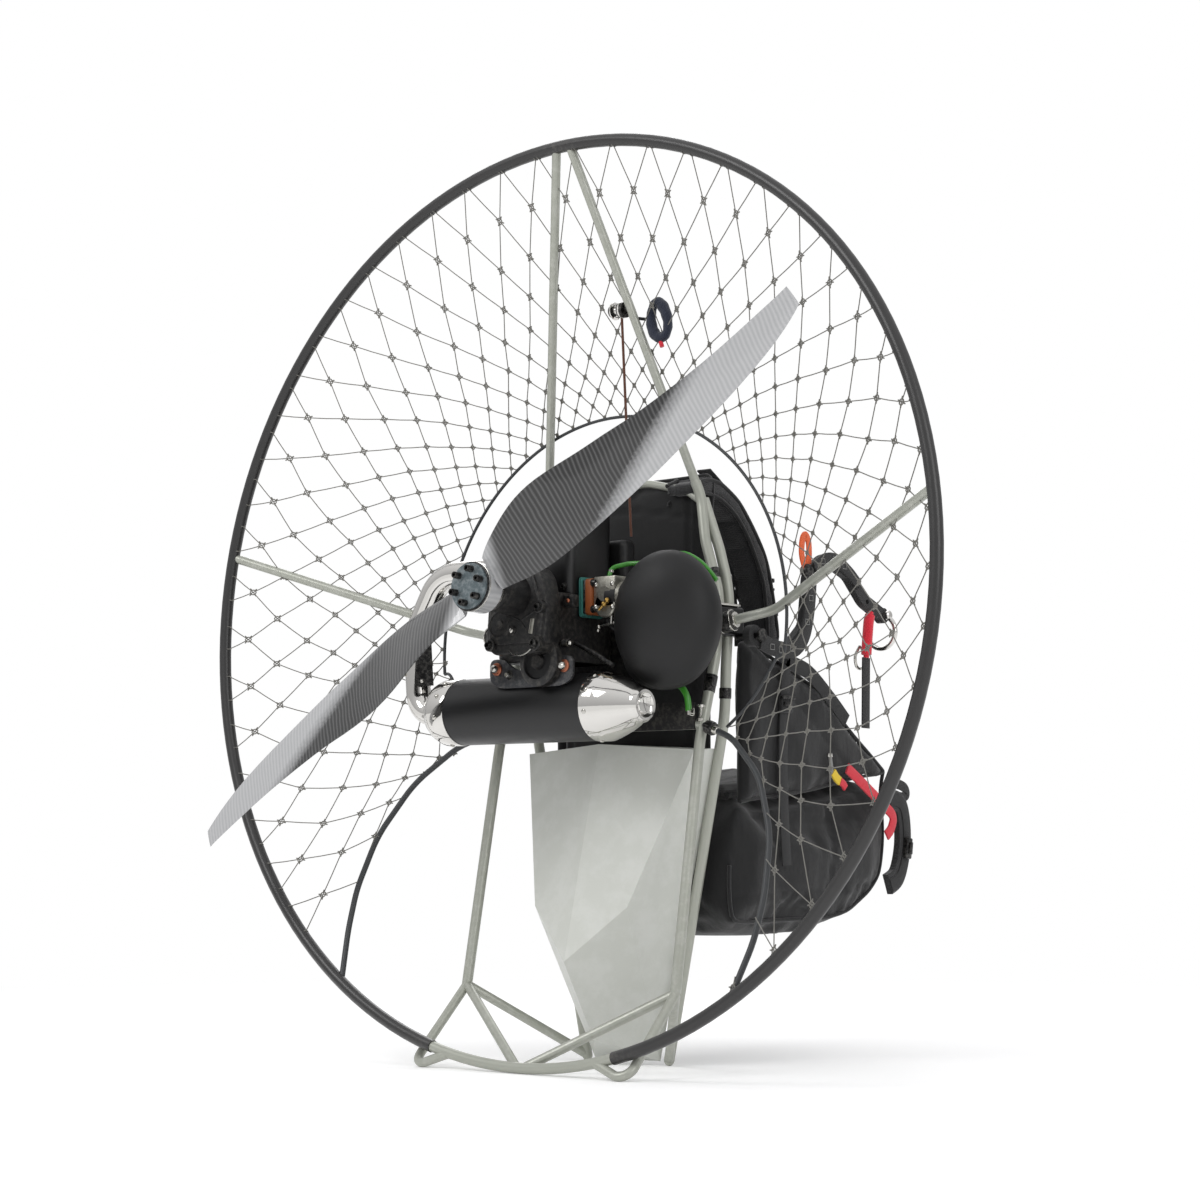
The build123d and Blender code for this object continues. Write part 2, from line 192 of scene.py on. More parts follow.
def lin(c):
    """sRGB 0-255 to linear."""
    if isinstance(c, (int, float)):
        c = (c, c, c)
    return tuple((v / 255 / 12.92) if v <= 10 else ((v / 255 + 0.055) / 1.055) ** 2.4 for v in c)


def tint(c, f, lift=0.0):
    """A linear colour times f, no channel over 1."""
    return tuple(min(1, v * f + lift) for v in c)


def finish_mat(name, colour, rough, metal, var, scale, grain, bump, wear=0.0, wear_colour=None, coat=0.0,
        coat_rough=0.1, sheen=0.0, rough_var=0.08, spec=0.5, bdist=0.0004):
    """Painted, plated or cast surface: colour variation, fine grain, worn edges."""
    k = Nodes(name)
    c = lin(colour)
    big = k.noise(scale, 4, 0.6)
    col = k.mix(big, tint(c, 1 - var), tint(c, 1 + var))
    if wear > 0:
        g = k.new("ShaderNodeNewGeometry")
        edge = k.ramp(g.outputs["Pointiness"], [(0.51, 0.0), (0.56, 1.0)])
        patch = k.ramp(k.noise(scale * 2.5, 5, 0.7), [(0.45, 0.0), (0.62, 1.0)])
        w = k.mul(k.mul(edge, patch), wear)
        col = k.mix(w, col, lin(wear_colour))
    k.put(Base_Color=col, Roughness=k.add(k.mul(k.sub(big, 0.5), rough_var * 2), rough))
    k.put(Metallic=metal, Coat_Weight=coat, Coat_Roughness=coat_rough, Sheen_Weight=sheen, Specular_IOR_Level=spec,
        Normal=k.bump(k.noise(grain, 2, 0.5), bump, bdist))
    return k.m


def weave_mat(name, colour, pitch, bump, diag=False, sheen=0.25, wrinkle=0.0):
    """Woven nylon: warp and weft at the given pitch in millimetres."""
    k = Nodes(name)
    c = lin(colour)
    sep = k.new("ShaderNodeSeparateXYZ")
    k.link(k.tc.outputs["Object"], sep.inputs[0])
    x, y, z = sep.outputs
    u, v = (k.add(x, z), k.sub(x, z)) if diag else (x, z)
    f = 2 * pi / (pitch * 0.001)
    threads = k.mul(k.math("SINE", k.mul(k.add(u, y), f)), k.math("SINE", k.mul(v, f)))
    wv = k.add(k.mul(threads, 0.5), 0.5)
    col = k.mix(k.noise(22, 4, 0.6), tint(c, 0.8), tint(c, 1.2))
    col = k.mix(k.mul(wv, 0.45), col, tint(c, 1.9, 0.004))
    # large wrinkles under the weave
    chain = k.bump(k.noise(14, 5, 0.55, stretch=(1, 1, 0.6)), wrinkle, 0.012) if wrinkle else None
    k.put(Base_Color=col, Roughness=0.78, Sheen_Weight=sheen, Sheen_Roughness=0.5, Specular_IOR_Level=0.35,
        Normal=k.bump(wv, bump, 0.0003, chain))
    return k.m


def mesh_fabric(name, colour, hole=2.6):
    """Three-dimensional spacer mesh: small open cells, darker inside than on their walls."""
    k = Nodes(name)
    c = lin(colour)
    v = k.new("ShaderNodeTexVoronoi", feature="DISTANCE_TO_EDGE")
    v.inputs["Scale"].default_value = 1000 / hole
    v.inputs["Randomness"].default_value = 0.25
    k.link(k.tc.outputs["Object"], v.inputs["Vector"])
    cell = k.ramp(v.outputs["Distance"], [(0.08, 1.0), (0.22, 0.0)])
    k.put(Base_Color=k.mix(cell, tint(c, 0.25), c), Roughness=0.85, Sheen_Weight=0.3,
        Normal=k.bump(cell, 0.8, 0.0006))
    return k.m


# key, name, colour, roughness, metallic, variation, its scale, grain, its depth, and what else differs
FINISHES = [
    ("hoop", "hoop_black", (36, 35, 35), 0.38, 0.0, 0.1, 40, 1400, 0.06,
     dict(coat=0.25, coat_rough=0.28, wear=0.35, wear_colour=(95, 92, 88))),
    ("frame", "frame_grey", (168, 170, 160), 0.36, 0.35, 0.05, 30, 1600, 0.05,
     dict(rough_var=0.05, wear=0.25, wear_colour=(205, 205, 200))),
    ("tank", "tank_pale", (203, 205, 198), 0.42, 0.0, 0.025, 9, 700, 0.1,
     dict(rough_var=0.05, wear=0.3, wear_colour=(222, 223, 219), bdist=0.0003)),
    ("chrome", "polished_metal", (214, 212, 208), 0.07, 1.0, 0.03, 25, 500, 0.02, dict(rough_var=0.05)),
    ("silencer", "silencer_black", (19, 19, 20), 0.42, 0.1, 0.12, 30, 1500, 0.1, {}),
    ("airbox", "airbox_matte", (18, 18, 19), 0.55, 0.0, 0.12, 26, 1100, 0.22, dict(spec=0.45)),
    ("cast", "engine_cast", (15, 15, 16), 0.46, 0.15, 0.25, 60, 800, 0.5,
     dict(wear=0.35, wear_colour=(96, 92, 86), bdist=0.0006)),
    ("hub", "hub_slate", (98, 110, 114), 0.36, 0.55, 0.06, 50, 1400, 0.08,
     dict(wear=0.5, wear_colour=(165, 172, 174))),
    ("shroud", "shroud_plastic", (15, 15, 16), 0.38, 0.0, 0.12, 30, 1000, 0.12, {}),
    ("black_steel", "black_steel", (20, 20, 21), 0.32, 0.5, 0.1, 80, 1400, 0.06,
     dict(wear=0.5, wear_colour=(110, 108, 104))),
    ("steel", "bright_steel", (196, 194, 188), 0.22, 1.0, 0.08, 90, 900, 0.08, {}),
    ("plate", "mount_plate_grey", (62, 63, 66), 0.38, 0.6, 0.1, 60, 1200, 0.1,
     dict(wear=0.5, wear_colour=(140, 138, 134))),
    ("copper", "copper_bush", (168, 104, 80), 0.35, 0.9, 0.15, 120, 900, 0.1, {}),
    ("brass", "brass", (176, 142, 78), 0.3, 1.0, 0.12, 120, 900, 0.08, {}),
    ("carb", "carburettor_grey", (150, 148, 138), 0.36, 0.85, 0.14, 90, 900, 0.25,
     dict(wear=0.4, wear_colour=(205, 203, 196))),
    ("insulator", "insulator_brown", (138, 74, 34), 0.5, 0.0, 0.2, 90, 700, 0.2, {}),
    ("gasket", "gasket_teal", (44, 106, 98), 0.6, 0.0, 0.15, 90, 700, 0.15, {}),
    ("fuel", "fuel_hose_green", (58, 138, 40), 0.3, 0.0, 0.12, 80, 900, 0.05, dict(coat=0.3)),
    ("rubber", "black_rubber", (13, 13, 14), 0.6, 0.0, 0.15, 60, 900, 0.25, {}),
    ("net", "net_cord", (112, 110, 104), 0.7, 0.0, 0.25, 220, 1600, 0.5, dict(sheen=0.2)),
    ("arc", "arc_dark", (52, 54, 56), 0.45, 0.0, 0.12, 40, 1400, 0.1, {}),
]
# key, name, colour, pitch, depth, laid on the bias, and what else differs
WEAVES = [
    ("nylon", "harness_nylon", (9, 9, 10), 0.9, 0.35, False, dict(wrinkle=0.35)),
    ("cordura", "harness_heavy_nylon", (11, 11, 12), 1.4, 0.6, False, dict(wrinkle=0.15)),
    ("web", "webbing_black", (12, 12, 13), 1.6, 0.8, True, {}),
    ("web_grey", "webbing_grey", (120, 120, 118), 1.6, 0.8, True, {}),
    ("red", "webbing_red", (196, 30, 48), 1.4, 0.6, True, dict(sheen=0.35)),
    ("orange", "webbing_orange", (214, 84, 30), 1.4, 0.6, True, dict(sheen=0.35)),
    ("yellow", "webbing_yellow", (214, 176, 40), 1.4, 0.6, True, {}),
    ("blue", "nylon_blue", (30, 70, 150), 1.2, 0.5, False, {}),
    ("navy", "grip_navy", (26, 32, 48), 1.3, 0.7, False, dict(sheen=0.3)),
    ("rope", "starter_rope", (86, 50, 34), 1.1, 0.9, True, {}),
]
M = {key: finish_mat(*row, **more) for key, *row, more in FINISHES}
M.update({key: weave_mat(*row, **more) for key, *row, more in WEAVES})
M["mesh"] = mesh_fabric("spacer_mesh", (24, 24, 26))


BLADE = 56.4          # degrees from the hoop's top to the blade
STRIPE, TWILL = 0.0074, 0.0026


def carbon_mat():
    """Glossy carbon with stripes across the blade; its pale outer half is a painted reflection of a softbox, and a
    pale patch by the hub is a painted highlight.
    """
    k = Nodes("propeller_carbon")
    a = radians(BLADE)
    along = RIGHT * sin(a) + UP * cos(a)
    across = RIGHT * cos(a) - UP * sin(a)
    org = Vector(JOINTS["propeller_spin"]["pos_m"])

    def axis(d):
        n = k.new("ShaderNodeVectorMath", operation="DOT_PRODUCT")
        s = k.new("ShaderNodeVectorMath", operation="SUBTRACT")
        k.link(k.tc.outputs["Object"], s.inputs[0])
        s.inputs[1].default_value = org
        k.link(s.outputs[0], n.inputs[0])
        n.inputs[1].default_value = d
        return n.outputs["Value"]

    r, c = axis(along), axis(across)
    rad = k.math("ABSOLUTE", r)
    side = k.mul(c, k.math("SIGN", r))     # to the leading edge
    # stripes of tow across the blade, a little wavy, with a fine twill in them
    wave = k.mul(k.sub(k.noise(16, 2, 0.5), 0.5), 0.010)
    pos = k.add(k.add(rad, k.mul(side, 0.16)), wave)
    stripe = k.add(k.mul(k.math("SINE", k.mul(pos, 2 * pi / STRIPE)), 0.5), 0.5)
    u = k.math("DIVIDE", k.add(pos, side), TWILL)
    v = k.math("DIVIDE", k.sub(pos, side), TWILL)
    weave = k.mul(k.math("SINE", k.mul(u, pi)), k.math("SINE", k.mul(v, pi)))
    h = k.add(k.mul(stripe, 0.7), k.mul(weave, 0.3))
    dark = k.mix(k.mul(stripe, stripe), lin(24), lin(84))
    dark = k.mix(k.mul(k.math("MAXIMUM", weave, 0.0), 0.35), dark, lin(20))
    # painted reflection: the pale grey of a softbox seen in the glossy blade, with the stripes showing through it
    painted_reflection = k.mix(stripe, lin((170, 171, 172)), lin((188, 188, 189)))
    painted_reflection = k.mix(k.mul(k.noise(40, 3), 0.15), painted_reflection, lin((160, 161, 163)))
    # painted reflection: a softbox seen in the glossy blade, pale from the leading edge and reaching the other edge
    # further out, with painted brushed lines of reflection along its boundary
    front = k.add(k.add(side, k.mul(rad, 0.30)), -0.1224)
    reflection_streaks = k.mul(k.sub(k.noise(220, 2, 0.5), 0.5), 0.012)
    reflection_mask = k.ramp(k.add(k.add(front, reflection_streaks), 0.5), [(0.488, 0.0), (0.500, 0.55), (0.516, 1.0)])
    # painted highlight: a pale reflection patch near the hub, reaching further out on the trailing side of each blade
    root_highlight = k.ramp(k.add(rad, k.mul(side, 0.55)), [(0.040, 0.95), (0.062, 0.0)])
    k.put(Base_Color=k.mix(k.math("MAXIMUM", reflection_mask, root_highlight), dark, painted_reflection), Roughness=0.3, Metallic=0.05,
        Coat_Weight=0.7, Coat_Roughness=0.07, Normal=k.bump(h, 0.12, 0.0002))
    return k.m


M["carbon"] = carbon_mat()


# ------------------------------------------------------------- mesh building
def angles(seg):
    return [2 * pi * k / seg for k in range(seg)]


def between(rings, seg, closed=False):
    """Faces between rings of seg points each."""
    return [(i * seg + k, i * seg + (k + 1) % seg, (i + 1) % rings * seg + (k + 1) % seg,
        (i + 1) % rings * seg + k) for i in range(rings if closed else rings - 1) for k in range(seg)]


def square_to(axis):
    """A unit vector square to the axis, towards +Z, or +X on an upright axis."""
    ref = Vector((0, 0, 1)) if abs(axis.z) < 0.9 else Vector((1, 0, 0))
    return (ref - axis * ref.dot(axis)).normalized()


class Piece:
    """Collects tubes, blocks, turned parts and sheets into one mesh."""

    def __init__(self, name, body="chassis", mats=("cast",)):
        self.name, self.body, self.mats = name, body, list(mats)
        self.v, self.f, self.mi, self.sm = [], [], [], []
        self.cur = 0

    def use(self, mat):
        if mat not in self.mats:
            self.mats.append(mat)
        self.cur = self.mats.index(mat)
        return self

    def add(self, verts, faces, smooth=True):
        b = len(self.v)
        self.v += [Vector(p) for p in verts]
        self.f += [tuple(i + b for i in f) for f in faces]
        self.mi += [self.cur] * len(faces)
        self.sm += [smooth] * len(faces)
        return self

    def add_bmesh(self, bm):
        bm.verts.index_update()
        self.add([v.co.copy() for v in bm.verts], [tuple(v.index for v in f.verts) for f in bm.faces], False)
        bm.free()
        return self

    def tube(self, pts, r, seg=10, closed=False, caps=True):
        """Round tube through points; r may be a list."""
        pts = [Vector(p) for p in pts]
        n = len(pts)
        rs = r if isinstance(r, (list, tuple)) else [r] * n
        tang = []
        for i in range(n):
            a = pts[(i - 1) % n] if (closed or i > 0) else pts[0]
            b = pts[(i + 1) % n] if (closed or i < n - 1) else pts[-1]
            tang.append((b - a).normalized())
        u = square_to(tang[0])
        verts = []
        for i in range(n):
            if i:
                u = (tang[i - 1].rotation_difference(tang[i]) @ u).normalized()
                u = (u - tang[i] * u.dot(tang[i])).normalized()
            w = tang[i].cross(u)
            verts += [pts[i] + (u * cos(t) + w * sin(t)) * rs[i] for t in angles(seg)]
        self.add(verts, between(n, seg, closed))
        if caps and not closed:
            self.add(verts[:seg], [tuple(reversed(range(seg)))], False)
            self.add(verts[-seg:], [tuple(range(seg))], False)
        return self

    def turned(self, p, axis, profile, seg=24, smooth=True):
        """Turned part: profile is (distance along the axis, radius) in metres."""
        axis = Vector(axis).normalized()
        u = square_to(axis)
        w = axis.cross(u)
        verts = [Vector(p) + axis * d + (u * cos(t) + w * sin(t)) * r for d, r in profile for t in angles(seg)]
        faces = between(len(profile), seg)
        if profile[0][1] > 1e-5:
            faces.append(tuple(reversed(range(seg))))
        if profile[-1][1] > 1e-5:
            faces.append(tuple(range(len(verts) - seg, len(verts))))
        return self.add(verts, faces, smooth)

    def disc(self, p, axis, r, t, seg=24, bev=0.0):
        b = bev or min(r, t) * 0.12
        return self.turned(p, axis, [(0, r - b), (b, r), (t - b, r), (t, r - b)], seg)

    def hexbolt(self, p, axis, r, t, socket=False, washer=0.0):
        if washer:
            self.disc(p, axis, washer, t * 0.18, 20)
        if socket:
            s = r * 0.52
            return self.turned(p, axis, [(0, r), (t * 0.85, r), (t, r * 0.9), (t, s), (t * 0.45, s * 0.95)], 18)
        return self.turned(p, axis, [(0, r), (t * 0.85, r), (t, r * 0.86)], 6, False)

    def dome(self, p, axis, r, t):
        """Dome-headed screw."""
        return self.turned(p, axis, [(d * t, q * r) for d, q in DOME], 16)

    def box(self, c, s, bev=0.0015, tip=0):
        """Bevelled block: centre, full sizes, tipped about X by some degrees."""
        bm = bmesh.new()
        bmesh.ops.create_cube(bm, size=1.0)
        bmesh.ops.scale(bm, vec=Vector(s), verts=bm.verts)
        bmesh.ops.bevel(bm, geom=list(bm.edges), offset=min(bev, min(s) * 0.3), segments=2, profile=0.5,
            affect="EDGES")
        bm.transform(Matrix.Translation(Vector(c)) @ Matrix.Rotation(radians(tip), 4, "X"))
        return self.add_bmesh(bm)

    def plate(self, outline, thick, origin, ux, uy, bev=0.0008):
        """Flat plate of a 2-D outline in the plane ux, uy (metres)."""
        ux, uy = Vector(ux), Vector(uy)
        bm = bmesh.new()
        face = bm.faces.new([bm.verts.new(Vector(origin) + ux * a + uy * b) for a, b in outline])
        ext = bmesh.ops.extrude_face_region(bm, geom=[face])
        bmesh.ops.translate(bm, verts=[g for g in ext["geom"] if isinstance(g, bmesh.types.BMVert)],
            vec=ux.cross(uy) * thick)
        bmesh.ops.recalc_face_normals(bm, faces=bm.faces)
        bmesh.ops.bevel(bm, geom=[e for e in bm.edges if e.calc_face_angle(0) > 0.6], offset=bev, segments=2,
            profile=0.5, affect="EDGES")
        return self.add_bmesh(bm)

    def ball(self, p, r, seg=12, scale=(1, 1, 1)):
        """Ball, or an egg where the scale differs, from pole to pole along Z."""
        rows = [pi * i / (seg // 2) for i in range(seg // 2 + 1)]
        verts = [Vector(p) + Vector((sin(q) * cos(t) * scale[0], sin(q) * sin(t) * scale[1],
            -cos(q) * scale[2])) * r for q in rows for t in angles(seg)]
        return self.add(verts, between(len(rows), seg))

    def strap(self, pts, width, thick, normal):
        """Flat webbing through points; its face looks along normal."""
        pts = [Vector(p) for p in pts]
        n = len(pts)
        verts = []
        for i in range(n):
            t = (pts[min(i + 1, n - 1)] - pts[max(i - 1, 0)]).normalized()
            nn = Vector(normal)
            nn = (nn - t * nn.dot(t)).normalized()
            s = t.cross(nn)
            verts += [pts[i] + s * (du * width / 2) + nn * (dn * thick / 2) for du, dn in STRAP_EDGE]
        m = len(STRAP_EDGE)
        ends = [tuple(reversed(range(m))), tuple(range((n - 1) * m, n * m))]
        return self.add(verts, between(n, m) + ends)

    def build(self, angle=35, replaces=()):
        me = bpy.data.meshes.new(self.name)
        me.from_pydata([tuple(p) for p in self.v], [], self.f)
        for name in self.mats:
            me.materials.append(M[name])
        me.polygons.foreach_set("material_index", self.mi)
        me.polygons.foreach_set("use_smooth", self.sm)
        me.update()
        bm = bmesh.new()
        bm.from_mesh(me)
        bmesh.ops.recalc_face_normals(bm, faces=bm.faces)
        bm.to_mesh(me)
        bm.free()
        me.set_sharp_from_angle(angle=radians(angle))
        o = place(self.name, me)
        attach(o, self.body)
        if replaces:
            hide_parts(*replaces)
        return o


DOME = [(0, 1.0), (0.45, 1.0), (0.75, 0.8), (0.92, 0.45), (1.0, 0.0)]
STRAP_EDGE = ((-1, -1), (-1.0, 1), (-0.86, 1.25), (0.86, 1.25), (1.0, 1), (1, -1))
REAR, FORE, TOP = Vector((0, -1, 0)), Vector((0, 1, 0)), Vector((0, 0, 1))


def curve(points, n=12):
    """Smooth line (Catmull-Rom) through the points."""
    p = [Vector(q) for q in points]
    out = []
    for i in range(len(p) - 1):
        a, b, c, d = p[max(i - 1, 0)], p[i], p[i + 1], p[min(i + 2, len(p) - 1)]
        for t in (k / n for k in range(n)):
            out.append(0.5 * ((2 * b) + (c - a) * t + (2 * a - 5 * b + 4 * c - d) * t * t
                + (3 * b - a - 3 * c + d) * t ** 3))
    return out + [p[-1]]


def both(fn):
    """Make the right and the left one."""
    for s in (1, -1):
        fn(s)


# ------------------------------------------------ finishes of the CAD pieces
DRESS = {
    "hoop": "hoop_left hoop_right",
    "frame": "hoop_base top_arms rear_uprights front_uprights foot_loops foot_struts front_struts lower_crossbar "
             "top_crossbar side_arms",
    "arc": "net_arcs net_ring",
    "black_steel": "arm_clamps hub_bolts starter_pulley",
    "hub": "hub_plate",
    "carbon": "propeller",
    "steel": "shaft_flange",
    "cast": "crankcase cylinder cylinder_head reduction_housing engine_bearer starter_housing",
    "plate": "mount_plate silencer_brackets",
    "insulator": "intake_block",
    "carb": "carburettor",
    "airbox": "airbox",
    "chrome": "exhaust_header silencer_ends carabiner_left carabiner_right",
    "silencer": "silencer",
    "tank": "fuel_tank",
    "fuel": "fuel_hose",
    "rope": "starter_rope",
    "navy": "starter_handle",
    "cordura": "back_pad seat_pan seat_sides",
    "mesh": "shoulder_pads",
    "web": "swan_bar_left swan_bar_right",
}
for key, names in DRESS.items():
    for n in names.split():
        o = frame["nodes"][n]
        for s in o.material_slots:
            s.material = M[key]
        if not o.material_slots:
            o.data.materials.append(M[key])


# --------------------------------------------------------------------- net
# Diamond mesh stretched from the hoop to the front ring and the two lower
# arcs. A knot has a column (half steps round the hoop) and a row; DEPTH is how
# far each row lies from the hoop (0) to the ring (1), and the mesh is pulled
# out towards the hoop at the sides, more on the right than on the left.
DEPTH = list(enumerate((0, .167, .34, .482, .59, .685, .762, .829, .889, .943, .995, 1.045, 1.09, 1.13, 1.17)))
PULL_LEFT = [(0, 0), (30, .15), (45, .44), (58, .65), (72, .95), (90, 1.12), (108, 1.08), (118, .95), (128, .6),
    (140, .5)]
PULL_RIGHT = [(0, 0), (20, .17), (33, .4), (45, .7), (60, 1.3), (72, 1.8), (88, 2.3), (102, 2.1), (112, 1.75),
    (120, 1.2), (128, .7), (138, .5)]
ARC_EDGE = [(122, 1.0), (124.5, .89), (127.5, .70), (131.25, .54), (134.75, .40), (139.5, .24), (142.75, .13),
    (147, 0)]
RING_END, ARC_START, TIE_END = 98, 122, 147      # degrees from the top
RING_AHEAD, RING_DROP = -153, -38.6              # of the ring's middle from the hoop's
TAIL = [(331, 148.6, 622), (322, 147, 600), (300, 144, 566), (272, 142, 532), (237, 140, 502.5)]


def interp(tab, x):
    """Read a table of (place, value) pairs at x, straight between them."""
    if x <= tab[0][0]:
        return tab[0][1]
    for (a, b), (c, d) in zip(tab, tab[1:]):
        if x <= c:
            return b + (d - b) * (x - a) / (c - a)
    return tab[-1][1]


def net_inner(th):
    """The front ring at th degrees, with its tails below the circle."""
    s, a = (1 if th >= 0 else -1), abs(th)
    if a <= RING_END:
        return round_hoop(th, RING_R, RING_AHEAD, RING_DROP)
    f = min((a - RING_END) / (ARC_START - RING_END), 1) * (len(TAIL) - 1)
    i = min(int(f), len(TAIL) - 2)
    p, q = TAIL[i], TAIL[i + 1]
    f -= i
    return L(s * (p[0] + (q[0] - p[0]) * f), p[1] + (q[1] - p[1]) * f, p[2] + (q[2] - p[2]) * f)


def net_at(q):
    """The point at (degrees, depth) of the mesh."""
    return round_hoop(q[0], INNER_R).lerp(net_inner(q[0]), q[1])


def knot_at(c, r):
    """Degrees and depth of the knot in a column and a row."""
    # half steps of some 3 degrees, widening down either side
    th = -1.1 + (3.1 * c + .0055 * c * c if c >= 0 else 3.06 * c - .0073 * c * c)
    a = abs(th)
    s = interp(PULL_RIGHT if th > 0 else PULL_LEFT, a) * (1 - .95 * exp(-r / 2.2))
    t = .012 if (r == 1 and th > 75) else interp(DEPTH, max(r - s, 0.02))
    # each knot hangs a little off its place
    j = random.Random(c * 131 + r * 17)
    th *= 1 - .14 * (1 - a / 250) * max(0, t - .3) / .7
    if 1 <= r <= 10:
        th += j.uniform(-.18, .18)
        t += j.uniform(-.005, .005) * (1 - t * .6)
    return th, t


def net_inside(q):
    return q[1] <= 1 and (abs(q[0]) <= ARC_START or q[1] < interp(ARC_EDGE, abs(q[0])))


def net_clip(a, b):
    """Where the cord from a, inside, to b, outside, leaves the mesh."""
    lo, hi = 0.0, 1.0
    for _ in range(18):
        m = (lo + hi) / 2
        if net_inside((a[0] + (b[0] - a[0]) * m, a[1] + (b[1] - a[1]) * m)):
            lo = m
        else:
            hi = m
    return a[0] + (b[0] - a[0]) * lo, a[1] + (b[1] - a[1]) * lo


net = Piece("net_cords", mats=("net",))
knots_made = Piece("net_knots", mats=("net",))
CORD, TIE_R, RING_TUBE = 0.00085, 0.0098, 0.0025
COLUMNS = 46          # half steps down either side


def cord_run(a, b):
    """A cord between two places of the mesh, with a slight bow."""
    pa, pb = net_at(a), net_at(b)
    if (pb - pa).length < 0.004:
        return
    net.tube([pa, pa.lerp(pb, 0.5) + Vector((0, 0, -0.0006)), pb], CORD, 5, caps=False)


def net_knot(q, size):
    """Four-cord knot: a small ring of cord with tight wraps where cords enter."""
    p = net_at(q)
    e = net_at((q[0] + 0.3, q[1])) - p
    g = net_at((q[0], min(q[1] + 0.01, 1.0))) - p
    e.normalize()
    g = (g - e * g.dot(e)).normalized()
    n = e.cross(g)

    def spoke(t):
        return e * cos(t) * 0.72 + g * sin(t)

    knots_made.tube([p + spoke(t) * size for t in angles(8)], CORD * 1.25, 5, closed=True)
    for a in (35, 145, 215, 325):
        d = spoke(radians(a))
        knots_made.tube([p + d * size * 0.75, p + d * size * 1.9 + n * 0.0003], [CORD * 1.7, CORD * 1.15], 5)


hoop_ties = []
for c in range(-COLUMNS, COLUMNS + 1):
    for r in range(1, len(DEPTH) - 1):
        if (r % 2 == 1) != (c % 2 == 0):
            continue
        a = knot_at(c, r)
        if not net_inside(a):
            continue
        net_knot(a, 0.0056 - 0.0027 * min(a[1], 1))
        for dc in (-1, 1):
            if r == 1:
                q = (a[0] + dc * 3.2 * a[1] / .167 * 0.9, 0)
                if abs(q[0]) < TIE_END:
                    cord_run(q, a)
                    hoop_ties.append(q[0])
            else:
                u = knot_at(c + dc, r - 1)
                if not net_inside(u):
                    cord_run(a, net_clip(a, u))
            b = knot_at(c + dc, r + 1)
            cord_run(a, b if net_inside(b) else net_clip(a, b))

# each cord end is whipped round the hoop's inner side
for th in hoop_ties:
    p = round_hoop(th)
    t = radians(th)
    rad = RIGHT * sin(t) + UP * cos(t)
    knots_made.tube([p - rad * TIE_R * cos(s) + AFT * TIE_R * sin(s) for s in (-0.5, -0.25, 0.0, 0.25, 0.5)], 0.0009,
        5)
net.build(angle=60)
knots_made.build(angle=60)

# front ring: a circle over the top, then tails down and in to the arc clamps
front_ring = Piece("net_front_ring", mats=("arc",))
front_ring.tube([net_inner(t) for t in range(-RING_END, RING_END + 1, 2)], RING_TUBE, 8)
for s in (1, -1):
    front_ring.tube(curve([net_inner(RING_END * s)] + [L(s * x, y, z) for x, y, z in TAIL[1:]], 6), RING_TUBE, 8)
front_ring.build(angle=60, replaces=["net_ring"])


# ----------------------------------------------------------------- harness
def soft_mesh(name, verts, faces, voxel):
    """An even closed skin over the shell."""
    me = bpy.data.meshes.new(name)
    me.from_pydata([tuple(v) for v in verts], [], faces)
    bm = bmesh.new()
    bm.from_mesh(me)
    bmesh.ops.triangulate(bm, faces=[f for f in bm.faces if len(f.verts) > 4])
    bmesh.ops.recalc_face_normals(bm, faces=bm.faces)
    bm.to_mesh(me)
    bm.free()
    o = place(name, me)
    m = o.modifiers.new("remesh", "REMESH")
    m.mode = "VOXEL"
    m.voxel_size = voxel
    bake(o)
    return o


def bake(o):
    """Put the result of the modifiers in the mesh."""
    me = bpy.data.meshes.new_from_object(o.evaluated_get(bpy.context.evaluated_depsgraph_get()))
    o.modifiers.clear()
    old = o.data
    o.data = me
    bpy.data.meshes.remove(old)


def inflate(o, pressure, cap, frames):
    """Swell the piece as stuffed cloth does; no point moves further than cap."""
    rest = [v.co.copy() for v in o.data.vertices]
    m = o.modifiers.new("cloth", "CLOTH")
    s = m.settings
    s.quality = 5
    s.mass = 0.3
    s.tension_stiffness = s.compression_stiffness = STIFF
    s.shear_stiffness = STIFF * 0.6
    s.bending_stiffness = 0.8
    s.use_pressure = True
    s.uniform_pressure_force = pressure
    s.effector_weights.gravity = 0.0
    sc = bpy.context.scene
    for f in range(1, frames + 1):
        sc.frame_set(f)
    bake(o)
    sc.frame_set(1)
    for v, r in zip(o.data.vertices, rest):
        d = v.co - r
        if d.length > cap:
            v.co = r + d * (cap / d.length)
    return o


def shape(o, fn):
    """Move each point along its normal by fn(point, normal), in metres."""
    me = o.data
    nor = [v.normal.copy() for v in me.vertices]
    for v, n in zip(me.vertices, nor):
        v.co += n * fn(v.co, n)
    me.update()


SOFT = []
STIFF = 18.0


def finish_soft(o, mat, replaces=()):
    o.data.materials.clear()
    o.data.materials.append(M[mat])
    for p in o.data.polygons:
        p.use_smooth = True
    SOFT.append(o)
    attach(o, "chassis")
    if replaces:
        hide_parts(*replaces)


def prism(profile, x0, x1, inset):
    """Closed prism of a side outline (y, z) between two x places, in mm."""
    n = len(profile)
    area = sum(profile[i][0] * profile[(i + 1) % n][1] - profile[(i + 1) % n][0] * profile[i][1] for i in range(n))
    sgn = 1 if area > 0 else -1
    pts = []
    for i in range(n):
        a, b, c = Vector(profile[i - 1]), Vector(profile[i]), Vector(profile[(i + 1) % n])
        d1, d2 = (b - a).normalized(), (c - b).normalized()
        n1, n2 = Vector((d1.y, -d1.x)) * sgn, Vector((d2.y, -d2.x)) * sgn
        m = (n1 + n2)
        m = m / max(m.length_squared / 2, 0.5)
        pts.append(b - m * inset)
    verts = [L(x0 + inset, p.x, p.y) for p in pts] + [L(x1 - inset, p.x, p.y) for p in pts]
    faces = [tuple(range(n)), tuple(reversed(range(n, 2 * n)))]
    faces += [(i, (i + 1) % n, n + (i + 1) % n, n + i) for i in range(n)]
    return verts, faces


